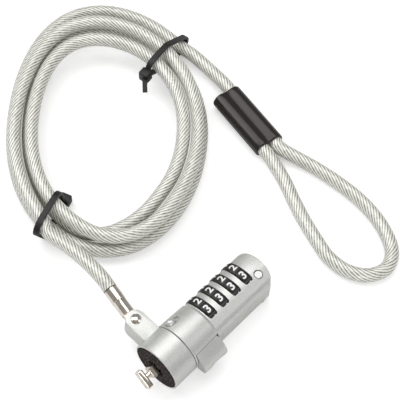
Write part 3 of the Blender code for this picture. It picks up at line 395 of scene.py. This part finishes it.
def resample(fine, spacing):
    """The same line with its points an even distance apart."""
    travelled = distances_along(fine)
    count = max(3, int(round(travelled[-1] / spacing)) + 1)
    wanted = np.linspace(0.0, travelled[-1], count)
    return np.column_stack([np.interp(wanted, travelled, fine[:, k]) for k in range(3)])


def unit(vector):
    """The vector's direction, with a length of one."""
    return vector / np.linalg.norm(vector)


def tuck(turn):
    """How much the upper strands give way inward where the lead joins the coil, from 0 to 1."""
    if turn < TUCK_FADE:
        return math.cos(math.pi / 2 * turn / TUCK_FADE) ** 2
    share = min(1.0, abs(turn - TUCK_SECOND_TURN) / TUCK_SECOND_FADE)
    return math.cos(math.pi / 2 * share) ** 2


def settling(turn):
    """How far a strand gives way outward at a turn, in millimetres."""
    total = 0.0
    for centre, fade, outward in COIL_SETTLING:
        total += outward * math.cos(math.pi / 2 * min(1.0, abs(turn - centre) / fade)) ** 2
    return total


def coil_point(turn):
    """The rope's centre after some turns: it spirals in above, changes layer and spirals out below."""
    middle = COIL_TURNS / 2
    half_change = LAYER_CHANGE_TURNS / 2
    near = max(0.0, 1.0 - abs(turn - middle) / half_change)
    inward = middle - abs(turn - middle) + LAYER_CHANGE_LANES * near**2 + TUCK_LANES * tuck(turn)
    share = min(1.0, max(0.0, (turn - (middle - half_change)) / LAYER_CHANGE_TURNS))
    upper = 1.0 - share * share * (3.0 - 2.0 * share)
    angle = math.radians(COIL_START_ANGLE - 360.0 * turn)
    outward = settling(turn)
    wide = COIL_HALF_WIDTH - COIL_LANE_WIDTHWISE * inward - COIL_TOP_INSET_WIDTHWISE * upper + outward
    long = COIL_HALF_LENGTH - COIL_LANE_LENGTHWISE * inward - COIL_TOP_INSET_LENGTHWISE * upper + outward
    across = wide * math.cos(angle) - COIL_SKEW * max(0.0, math.sin(angle)) ** 2
    along = long * math.sin(angle) + COIL_TOP_SHIFT * upper
    c, s = math.cos(COIL_LONG_AXIS), math.sin(COIL_LONG_AXIS)
    height = COIL_LOW_HEIGHT + (COIL_HIGH_HEIGHT - COIL_LOW_HEIGHT) * upper
    return np.array([
        COIL_CENTRE[0] + along * c + across * s,
        COIL_CENTRE[1] + along * s - across * c,
        height,
    ])


def coil_corners():
    """The points that the coil runs through, with one more beyond each end in line with it."""
    steps = int(round(COIL_TURNS * COIL_STEPS_PER_TURN))
    points = [coil_point(COIL_TURNS * i / steps) for i in range(steps + 1)]
    first = points[0] - unit(points[1] - points[0]) * 2 * CABLE_RADIUS
    last = points[-1] + unit(points[-1] - points[-2]) * 2 * CABLE_RADIUS
    return np.array([first, *points, last])


def sleeve_point(along, side):
    """A point in the sleeve's middle plane, in millimetres, from its upper end and its centreline."""
    c, s = math.cos(SLEEVE_HEADING), math.sin(SLEEVE_HEADING)
    return np.array([
        SLEEVE_START[0] + along * c - side * s,
        SLEEVE_START[1] + along * s + side * c,
        SLEEVE_HEIGHT,
    ])


def rope_route():
    """The whole rope from the ferrule round the coil and the end loop into the crimp, in millimetres."""
    out = np.array([
        -math.sin(FERRULE_TURN),
        math.cos(FERRULE_TURN) * math.cos(CLEVIS_RISE),
        math.cos(FERRULE_TURN) * math.sin(CLEVIS_RISE),
    ])
    pin = np.array([
        CLEVIS_X,
        CLEVIS_PIN_RADIAL * math.cos(CLEVIS_RISE),
        CLEVIS_PIN_RADIAL * math.sin(CLEVIS_RISE) + AXIS_HEIGHT,
    ])
    mouth = pin + out * FERRULE_END
    coil = coil_corners()
    start = unit(coil[1] - coil[0])
    end = unit(coil[-1] - coil[-2])
    lead = [
        mouth + out * GAP,
        mouth + out * (GAP + FERRULE_STRAIGHT),
        *LEAD_POINTS,
        coil[0] - start * (GAP + COIL_ENTRY_STRAIGHT),
    ]
    tail = [
        coil[-1] + end * (GAP + COIL_EXIT_STRAIGHT),
        sleeve_point(-SLEEVE_ENTRY_STRAIGHT, ROPE_SPREAD),
        sleeve_point(0.0, ROPE_SPREAD),
        sleeve_point(CRIMP_START - GAP, ROPE_SPREAD),
    ]
    # inside the crimp the rope crosses from one side to the other, out of sight
    low = CABLE_RADIUS + FLOOR_GAP
    loop = [
        sleeve_point(CRIMP_END + GAP, -ROPE_SPREAD),
        sleeve_point(SLEEVE_LENGTH, -ROPE_SPREAD),
        sleeve_point(SLEEVE_LENGTH + SLEEVE_EXIT_STRAIGHT, -ROPE_SPREAD - SLEEVE_EXIT_FLARE),
        *[(x, y, low) for x, y in LOOP_POINTS],
        sleeve_point(SLEEVE_LENGTH + SLEEVE_EXIT_STRAIGHT, ROPE_SPREAD + SLEEVE_EXIT_FLARE),
        sleeve_point(SLEEVE_LENGTH, ROPE_SPREAD),
        sleeve_point(CRIMP_END + GAP, ROPE_SPREAD),
    ]
    return smooth_path([*lead, *coil, *tail, *loop], ROUTE_SPACING)


def carried_frames(points):
    """A tangent and two square directions at each point, carried along without twisting."""
    tangents = np.gradient(points, axis=0)
    tangents /= np.linalg.norm(tangents, axis=1)[:, None]
    side = unit(np.cross(tangents[0], [0.0, 0.0, 1.0]))
    sides = []
    for tangent in tangents:
        side = unit(side - tangent * (side @ tangent))
        sides.append(side)
    sides = np.array(sides)
    return tangents, sides, np.cross(tangents, sides)


def corner_turns():
    """Angles in even steps through a quarter turn, for a rounded edge."""
    return [math.radians(90.0 * step / CORNER_STEPS) for step in range(CORNER_STEPS + 1)]


def join_rings(bm, rings):
    """Faces between each ring of vertices and the next, closed both ways and facing out."""
    for ring, following in zip(rings, rings[1:] + rings[:1]):
        for k in range(len(ring)):
            j = (k + 1) % len(ring)
            bm.faces.new((ring[k], ring[j], following[j], following[k]))
    bmesh.ops.recalc_face_normals(bm, faces=bm.faces)


# ---------------------------------------------------------------- stage
class StageSettings(bpy.types.PropertyGroup):
    lens: bpy.props.FloatProperty(
        name="Lens",
        description="Focal length in millimetres",
        default=120.0,
        min=20.0,
    )
    distance: bpy.props.FloatProperty(
        name="Distance",
        description="From the camera to the point that it looks at",
        default=0.4762,
        unit="LENGTH",
    )
    elevation: bpy.props.FloatProperty(
        name="Elevation",
        description="Angle of view above the floor",
        default=math.radians(58.0),
        subtype="ANGLE",
    )
    heading: bpy.props.FloatProperty(
        name="Heading",
        description="Way the camera looks, from +X",
        default=math.radians(43.3),
        subtype="ANGLE",
    )
    key_power: bpy.props.FloatProperty(
        name="Key",
        description="Power of the lamp on the left",
        default=2.3,
        unit="POWER",
    )
    side_power: bpy.props.FloatProperty(
        name="Side",
        description="Power of the lamp on the right",
        default=0.5,
        unit="POWER",
    )
    front_power: bpy.props.FloatProperty(
        name="Front",
        description="Power of the lamp in front",
        default=1.5,
        unit="POWER",
    )
    top_power: bpy.props.FloatProperty(
        name="Top",
        description="Power of the lamp overhead",
        default=3.2,
        unit="POWER",
    )
    world_level: bpy.props.FloatProperty(
        name="World",
        description="Strength of the surroundings' light on the object",
        default=0.3,
    )


class CABLELOCK_OT_stage(bpy.types.Operator):
    """Adds the floor, the white surroundings, the lamps and the camera."""

    bl_idname = "cablelock.stage"
    bl_label = "Stage"

    def execute(self, context):
        settings = context.scene.cablelock_stage
        look_at = place(*LOOK_AT)
        ahead = Vector((math.cos(settings.heading), math.sin(settings.heading), 0.0))
        right = Vector((ahead.y, -ahead.x, 0.0))
        up = Vector((0.0, 0.0, 1.0))
        view = ahead * math.cos(settings.elevation) - up * math.sin(settings.elevation)
        camera_data = bpy.data.cameras.new("camera")
        camera_data.lens = settings.lens
        camera_data.sensor_width = 36.0
        camera_data.clip_start = 0.01
        camera = bpy.data.objects.new("camera", camera_data)
        camera.location = look_at - view * settings.distance
        camera.rotation_euler = view.to_track_quat("-Z", "Y").to_euler()
        context.scene.collection.objects.link(camera)
        context.scene.camera = camera

        self.add_floor(context, look_at)
        self.add_world(context, settings)
        for name, (to_right, forward, height), size in LAMPS:
            offset = right * to_right + ahead * forward + up * height
            self.add_lamp(context, name, look_at, offset, size, getattr(settings, f"{name}_power"))
        context.scene.view_settings.view_transform = "Standard"
        return {"FINISHED"}

    def add_lamp(self, context, name, look_at, offset, size, power):
        """A soft square lamp that faces the point looked at."""
        data = bpy.data.lights.new(name, "AREA")
        data.size = size
        data.energy = power
        lamp = bpy.data.objects.new(name, data)
        lamp.location = look_at + offset
        lamp.rotation_euler = (-offset).to_track_quat("-Z", "Y").to_euler()
        context.scene.collection.objects.link(lamp)

    def add_floor(self, context, look_at):
        """White paper, lifted a little where the camera sees it, so that it stays white under soft shadows."""
        material, tree, shader = new_material("white_paper", Roughness=0.9, Base_Color=srgb("f0f0f0"))
        rays = add_node(tree, "ShaderNodeLightPath")
        seen = calculate(tree, "MAXIMUM", rays.outputs["Is Camera Ray"], rays.outputs["Is Transmission Ray"])
        where = add_node(tree, "ShaderNodeTexCoord").outputs["Object"]
        distance = add_node(tree, "ShaderNodeVectorMath", links={"Vector": where}, operation="LENGTH")
        # the lift at distances in metres: past the lamps' reach the paper gets all its white from here
        reach = {"From Min": 0.3, "From Max": 0.8, "To Min": 0.4, "To Max": 1.0}
        lift = add_node(tree, "ShaderNodeMapRange", reach, {"Value": distance.outputs["Value"]})
        level = calculate(tree, "MULTIPLY", seen, lift.outputs["Result"])
        shader.inputs["Emission Color"].default_value = srgb("ffffff")
        tree.links.new(level, shader.inputs["Emission Strength"])
        bm = bmesh.new()
        middle = Matrix.Translation((look_at.x, look_at.y, 0.0))
        bmesh.ops.create_grid(bm, x_segments=1, y_segments=1, size=FLOOR_HALF_SIZE, matrix=middle)
        mesh = bpy.data.meshes.new("floor")
        bm.to_mesh(mesh)
        bm.free()
        mesh.materials.append(material)
        floor = bpy.data.objects.new("floor", mesh)
        context.scene.collection.objects.link(floor)

    def add_world(self, context, settings):
        """Surroundings that are white to the camera alone and light the object softly."""
        world = bpy.data.worlds.new("white_room")
        world.use_nodes = True
        background = world.node_tree.nodes["Background"]
        background.inputs["Color"].default_value = srgb("ffffff")
        rays = add_node(world.node_tree, "ShaderNodeLightPath")
        level = calculate(world.node_tree, "MAXIMUM", rays.outputs["Is Camera Ray"], settings.world_level)
        world.node_tree.links.new(level, background.inputs["Strength"])
        context.scene.world = world


# ---------------------------------------------------------------- sleeve
class SleeveSettings(bpy.types.PropertyGroup):
    half_height: bpy.props.FloatProperty(
        name="Half height",
        description="From the middle to the crest",
        default=3.3 * MM,
        unit="LENGTH",
    )
    wall: bpy.props.FloatProperty(
        name="Wall",
        description="Thickness of the vinyl",
        default=0.6 * MM,
        unit="LENGTH",
    )
    dip: bpy.props.FloatProperty(
        name="Dip",
        description="How far it sinks between the two ropes",
        default=0.55 * MM,
        unit="LENGTH",
    )
    lip: bpy.props.FloatProperty(
        name="Lip",
        description="Radius of the end edges",
        default=0.5 * MM,
        unit="LENGTH",
    )


class CABLELOCK_OT_sleeve(bpy.types.Operator):
    """Shrinks the vinyl sleeve round the crimp and the two ropes."""

    bl_idname = "cablelock.sleeve"
    bl_label = "Sleeve"

    def execute(self, context):
        settings = context.scene.cablelock_sleeve
        bm = bmesh.new()
        rings = []
        for along, inset in self.wall_profile(settings):
            ring = []
            for side, height in self.section(settings, inset):
                x, y, z = sleeve_point(along / MM, side / MM)
                ring.append(bm.verts.new(place(x, y, z) + Vector((0.0, 0.0, height))))
            rings.append(ring)
        join_rings(bm, rings)
        vinyl = moulded_plastic("glossy_black_vinyl", "1c1614", "261e1b", 0.24, 0.6)
        sleeve = finish_piece("vinyl_sleeve", bm, vinyl, "rope_end")
        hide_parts("crimp_sleeve")
        return {"FINISHED"}

    def wall_profile(self, settings):
        """Distance along the sleeve and inset, out along the outside and back along the bore."""
        length = SLEEVE_LENGTH * MM
        lip = settings.lip
        profile = []
        for angle in reversed(corner_turns()):
            profile.append((lip - lip * math.sin(angle), lip - lip * math.cos(angle)))
        for along in np.linspace(lip, length - lip, SLEEVE_LENGTH_POINTS)[1:-1]:
            profile.append((float(along), 0.0))
        for angle in corner_turns():
            profile.append((length - lip + lip * math.sin(angle), lip - lip * math.cos(angle)))
        profile.append((length, settings.wall))
        profile.append((0.0, settings.wall))
        return profile

    def section(self, settings, inset):
        """Points round the sleeve: a half round at each rope, with a shallow dip between them."""
        radius = settings.half_height - inset
        spread = ROPE_SPREAD * MM
        points = []
        for end in (1.0, -1.0):
            for step in range(SLEEVE_ROUND_STEPS + 1):
                angle = math.radians(90.0 - 180.0 * step / SLEEVE_ROUND_STEPS)
                points.append((end * (spread + radius * math.cos(angle)), end * radius * math.sin(angle)))
            for share in np.linspace(1.0, -1.0, SLEEVE_DIP_POINTS)[1:-1]:
                sunk = settings.dip * math.cos(math.pi / 2 * float(share)) ** 2
                points.append((end * spread * float(share), end * (sunk - radius)))
        return points


# ---------------------------------------------------------------- rope
class RopeSettings(bpy.types.PropertyGroup):
    strands: bpy.props.IntProperty(
        name="Strands",
        description="Strands that show round the rope",
        default=14,
        min=3,
    )
    lay_length: bpy.props.FloatProperty(
        name="Lay length",
        description="Length in which a strand goes once round",
        default=27 * MM,
        unit="LENGTH",
    )
    radius: bpy.props.FloatProperty(
        name="Radius",
        description="Outer radius of the clear coat",
        default=CABLE_RADIUS * MM,
        unit="LENGTH",
    )
    sides: bpy.props.IntProperty(
        name="Sides",
        description="Faces round the rope",
        default=28,
        min=8,
    )


class CABLELOCK_OT_rope(bpy.types.Operator):
    """Lays the coated rope along its route from the ferrule to the crimp."""

    bl_idname = "cablelock.rope"
    bl_label = "Rope"

    def execute(self, context):
        settings = context.scene.cablelock_rope
        points = np.array([place(*p) for p in rope_route()])
        travelled = distances_along(points)
        mesh = self.tube(points, travelled, settings.radius, settings.sides)
        strands = coated_strands("clear_coated_steel_strands", settings.strands, settings.lay_length)
        mesh.materials.append(strands)
        rope = bpy.data.objects.new("steel_rope", mesh)
        context.scene.collection.objects.link(rope)
        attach(rope, "rope_end")
        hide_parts("cable_lead", "cable_coil", "cable_tail", "cable_loop")
        return {"FINISHED"}

    def tube(self, points, travelled, radius, sides):
        """A round tube with flat ends, whose UV map has the turn round it and the metres along it."""
        _, right, up = carried_frames(points)
        angles = np.arange(sides) * math.tau / sides
        across = np.cos(angles)[None, :, None] * right[:, None]
        upward = np.sin(angles)[None, :, None] * up[:, None]
        vertices = points[:, None] + (across + upward) * radius
        count = len(points)
        ring, side = np.meshgrid(np.arange(count - 1), np.arange(sides), indexing="ij")
        near = ring * sides
        far = near + sides
        following = (side + 1) % sides
        quads = np.stack([near + side, near + following, far + following, far + side], axis=-1)
        faces = quads.reshape(-1, 4).tolist()
        faces.append(list(range(sides - 1, -1, -1)))
        faces.append(list(range((count - 1) * sides, count * sides)))
        mesh = bpy.data.meshes.new("steel_rope")
        mesh.from_pydata(vertices.reshape(-1, 3), [], faces)
        turn = np.stack([side, side + 1, side + 1, side], axis=-1) / sides
        start, end = travelled[ring], travelled[ring + 1]
        along = np.stack([start, start, end, end], axis=-1)
        corners = np.column_stack([turn.ravel(), along.ravel()])
        ends = np.zeros((2 * sides, 2))
        layer = mesh.uv_layers.new(name="rope")
        layer.data.foreach_set("uv", np.vstack([corners, ends]).astype(np.float32).ravel())
        mesh.shade_smooth()
        mesh.set_sharp_from_angle(angle=ROPE_EDGE_ANGLE)
        return mesh


# ---------------------------------------------------------------- head
class CABLELOCK_OT_head(bpy.types.Operator):
    """Paints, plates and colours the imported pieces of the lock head, the fittings and the ties."""

    bl_idname = "cablelock.head"
    bl_label = "Head"

    def execute(self, context):
        painted = painted_zinc("satin_silver_lacquer_on_zinc", "e2e3df", "c9cac6", 0.3, 0.44)
        dress(["main_housing", "lower_cover", "swivel_collar", "nose_disc", "thumb_lever"], painted)
        dress(["stop_bead", "reset_button"], painted)
        nickel = plated_nickel("polished_nickel_plate", "f0e9de", "dccfbc", 0.14)
        dress(["clevis_pin", "nose_guide", "tbar_spindle", "cable_ferrule"], nickel)
        steel = plated_nickel("plain_steel", "b9b9b6", "8d8d8a", 0.3)
        dress(["cover_screw_1", "cover_screw_2", "dial_spindle", "lever_pin"], steel)
        dress(["lever_spring", "reset_spring", "crimp_ferrule"], steel)
        brass = plated_nickel("machined_brass", "d9b873", "b08f4e", 0.3)
        dress([*[f"dial_hub_{number}" for number in range(1, DIAL_COUNT + 1)], "thrust_washer"], brass)
        nylon = moulded_plastic("black_nylon", "0f0d0c", "171413", 0.45, 0.5)
        dress(["cable_tie_upper", "cable_tie_lower"], nylon)
        return {"FINISHED"}


# ---------------------------------------------------------------- dials
class DialSettings(bpy.types.PropertyGroup):
    digit_size: bpy.props.FloatProperty(
        name="Digit size",
        description="Size of the type",
        default=4.0 * MM,
        unit="LENGTH",
    )
    digit_weight: bpy.props.FloatProperty(
        name="Digit weight",
        description="How far each stroke is thickened",
        default=0.11 * MM,
        unit="LENGTH",
    )
    print_depth: bpy.props.FloatProperty(
        name="Print depth",
        description="Height of the ink above the dial",
        default=0.04 * MM,
        unit="LENGTH",
    )


class CABLELOCK_OT_dials(bpy.types.Operator):
    """Colours the dials and prints their numerals."""

    bl_idname = "cablelock.dials"
    bl_label = "Dials"

    def execute(self, context):
        settings = context.scene.cablelock_dials
        black = moulded_plastic("black_acetal", "161413", "262321", 0.35, 0.3)
        dress([f"dial_{number}" for number in range(1, DIAL_COUNT + 1)], black)
        ink = printed_paint("white_printing_ink", "f7f7f5", "d0d0cc")
        types = [self.digit_mesh(digit, settings) for digit in range(DIGITS_PER_DIAL)]
        for number in range(1, DIAL_COUNT + 1):
            low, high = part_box(f"dial_{number}")
            middle = (Vector(low) + Vector(high)) / 2
            bm = bmesh.new()
            for digit, mesh in enumerate(types):
                first = len(bm.verts)
                bm.from_mesh(mesh)
                bm.verts.ensure_lookup_table()
                turn = DIAL_SETTING + 360.0 / DIGITS_PER_DIAL * (digit - DIGIT_AT_SETTING)
                for vertex in bm.verts[first:]:
                    vertex.co = self.wrap(middle, vertex.co, math.radians(turn))
            bmesh.ops.recalc_face_normals(bm, faces=bm.faces)
            finish_piece(f"dial_{number}_numerals", bm, ink, f"wheel_{number}", smooth=False)
        for mesh in types:
            bpy.data.meshes.remove(mesh)
        return {"FINISHED"}

    def digit_mesh(self, digit, settings):
        """One digit as a thin solid round the origin, cut across so that it can bend round the dial."""
        curve = bpy.data.curves.new("digit", "FONT")
        curve.body = str(digit)
        curve.size = settings.digit_size
        curve.offset = settings.digit_weight
        curve.extrude = settings.print_depth
        curve.resolution_u = 3
        curve.align_x = "CENTER"
        curve.align_y = "CENTER"
        obj = bpy.data.objects.new("digit", curve)
        bpy.context.scene.collection.objects.link(obj)
        mesh = bpy.data.meshes.new_from_object(obj.evaluated_get(bpy.context.evaluated_depsgraph_get()))
        bpy.data.objects.remove(obj)
        bpy.data.curves.remove(curve)
        bm = bmesh.new()
        bm.from_mesh(mesh)
        bmesh.ops.remove_doubles(bm, verts=bm.verts, dist=DIGIT_WELD)
        highs = [vertex.co.y for vertex in bm.verts]
        shift = (max(highs) + min(highs)) / 2
        bmesh.ops.translate(bm, verts=bm.verts, vec=(0.0, -shift, 0.0))
        for step in range(-DIGIT_CUTS_EACH_WAY, DIGIT_CUTS_EACH_WAY + 1):
            cut = step * settings.digit_size * DIGIT_CUT_SPACING
            geometry = [*bm.verts, *bm.edges, *bm.faces]
            bmesh.ops.bisect_plane(bm, geom=geometry, plane_co=(0.0, cut, 0.0), plane_no=(0.0, 1.0, 0.0))
        bm.to_mesh(mesh)
        bm.free()
        return mesh

    def wrap(self, middle, point, turn):
        """Takes a point of flat type to the dial's surface, at a turn from the top towards -Y."""
        angle = turn - point.y / (DIAL_RADIUS * MM)
        radius = DIAL_RADIUS * MM + point.z
        return middle + Vector((point.x, -radius * math.sin(angle), radius * math.cos(angle)))


# ---------------------------------------------------------------- foam pad
class PadSettings(bpy.types.PropertyGroup):
    radius: bpy.props.FloatProperty(
        name="Radius",
        description="Outer radius",
        default=8.25 * MM,
        unit="LENGTH",
    )
    hole: bpy.props.FloatProperty(
        name="Hole",
        description="Radius of the hole",
        default=3.15 * MM,
        unit="LENGTH",
    )
    thickness: bpy.props.FloatProperty(
        name="Thickness",
        description="From the front to the back",
        default=0.85 * MM,
        unit="LENGTH",
    )
    rounding: bpy.props.FloatProperty(
        name="Rounding",
        description="Radius of the edges",
        default=0.3 * MM,
        unit="LENGTH",
    )
    grain: bpy.props.FloatProperty(
        name="Grain",
        description="Depth of the open cells",
        default=0.1 * MM,
        unit="LENGTH",
    )


class CABLELOCK_OT_pad(bpy.types.Operator):
    """Cuts the round foam pad on the nose, with its open cells."""

    bl_idname = "cablelock.pad"
    bl_label = "Pad"

    def execute(self, context):
        settings = context.scene.cablelock_pad
        profile = self.profile(settings)
        bm = bmesh.new()
        rings = []
        # the open cells stay clear of the rounded edges
        inner = settings.hole + 2 * settings.rounding
        outer = settings.radius - settings.rounding
        for step in range(PAD_STEPS_AROUND):
            angle = math.tau * step / PAD_STEPS_AROUND
            ring = []
            for radius, depth in profile:
                at = Vector((0.0, radius * math.sin(angle), radius * math.cos(angle)))
                pit = 0.5 + 0.5 * noise.noise(at / FOAM_CELL)
                sunk = settings.grain * pit if inner < radius < outer else 0.0
                ring.append(bm.verts.new(LOCK_AXIS + at + Vector((depth + sunk, 0.0, 0.0))))
            rings.append(ring)
        join_rings(bm, rings)
        pad = finish_piece("foam_disc", bm, cellular_foam("neoprene_foam"), "head")
        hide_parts("foam_pad")
        return {"FINISHED"}

    def profile(self, settings):
        """Radius and depth of the pad's section, from the hole's back over the front to the rim's back."""
        r = settings.rounding
        section = [(settings.hole, settings.thickness)]
        for angle in corner_turns():
            section.append((settings.hole + r - r * math.cos(angle), r - r * math.sin(angle)))
        for radius in np.linspace(settings.hole + r, settings.radius - r, PAD_RINGS)[1:-1]:
            section.append((float(radius), 0.0))
        for angle in corner_turns():
            section.append((settings.radius - r + r * math.sin(angle), r - r * math.cos(angle)))
        section.append((settings.radius, settings.thickness))
        return section


# ---------------------------------------------------------------- add-on
GROUPS = {
    "cablelock_stage": StageSettings,
    "cablelock_sleeve": SleeveSettings,
    "cablelock_rope": RopeSettings,
    "cablelock_dials": DialSettings,
    "cablelock_pad": PadSettings,
}
STEPS = ["stage", "sleeve", "rope", "head", "dials", "pad"]
OPERATORS = [
    CABLELOCK_OT_stage,
    CABLELOCK_OT_sleeve,
    CABLELOCK_OT_rope,
    CABLELOCK_OT_head,
    CABLELOCK_OT_dials,
    CABLELOCK_OT_pad,
]


class CABLELOCK_PT_panel(bpy.types.Panel):
    """Shows every setting and a button for each step."""

    bl_idname = "CABLELOCK_PT_panel"
    bl_label = "Cable lock"
    bl_space_type = "VIEW_3D"
    bl_region_type = "UI"
    bl_category = "Cable lock"

    def draw(self, context):
        for name, group in GROUPS.items():
            box = self.layout.box()
            for prop in group.__annotations__:
                box.prop(getattr(context.scene, name), prop)
        for step in STEPS:
            self.layout.operator(f"cablelock.{step}")


def register():
    for cls in [*GROUPS.values(), *OPERATORS, CABLELOCK_PT_panel]:
        bpy.utils.register_class(cls)
    for name, group in GROUPS.items():
        setattr(bpy.types.Scene, name, bpy.props.PointerProperty(type=group))


def unregister():
    for name in GROUPS:
        delattr(bpy.types.Scene, name)
    for cls in reversed([*GROUPS.values(), *OPERATORS, CABLELOCK_PT_panel]):
        bpy.utils.unregister_class(cls)


def main():
    """Builds the looks step by step."""
    register()
    for step in STEPS:
        getattr(bpy.ops.cablelock, step)()


if __name__ == "__main__":
    main()
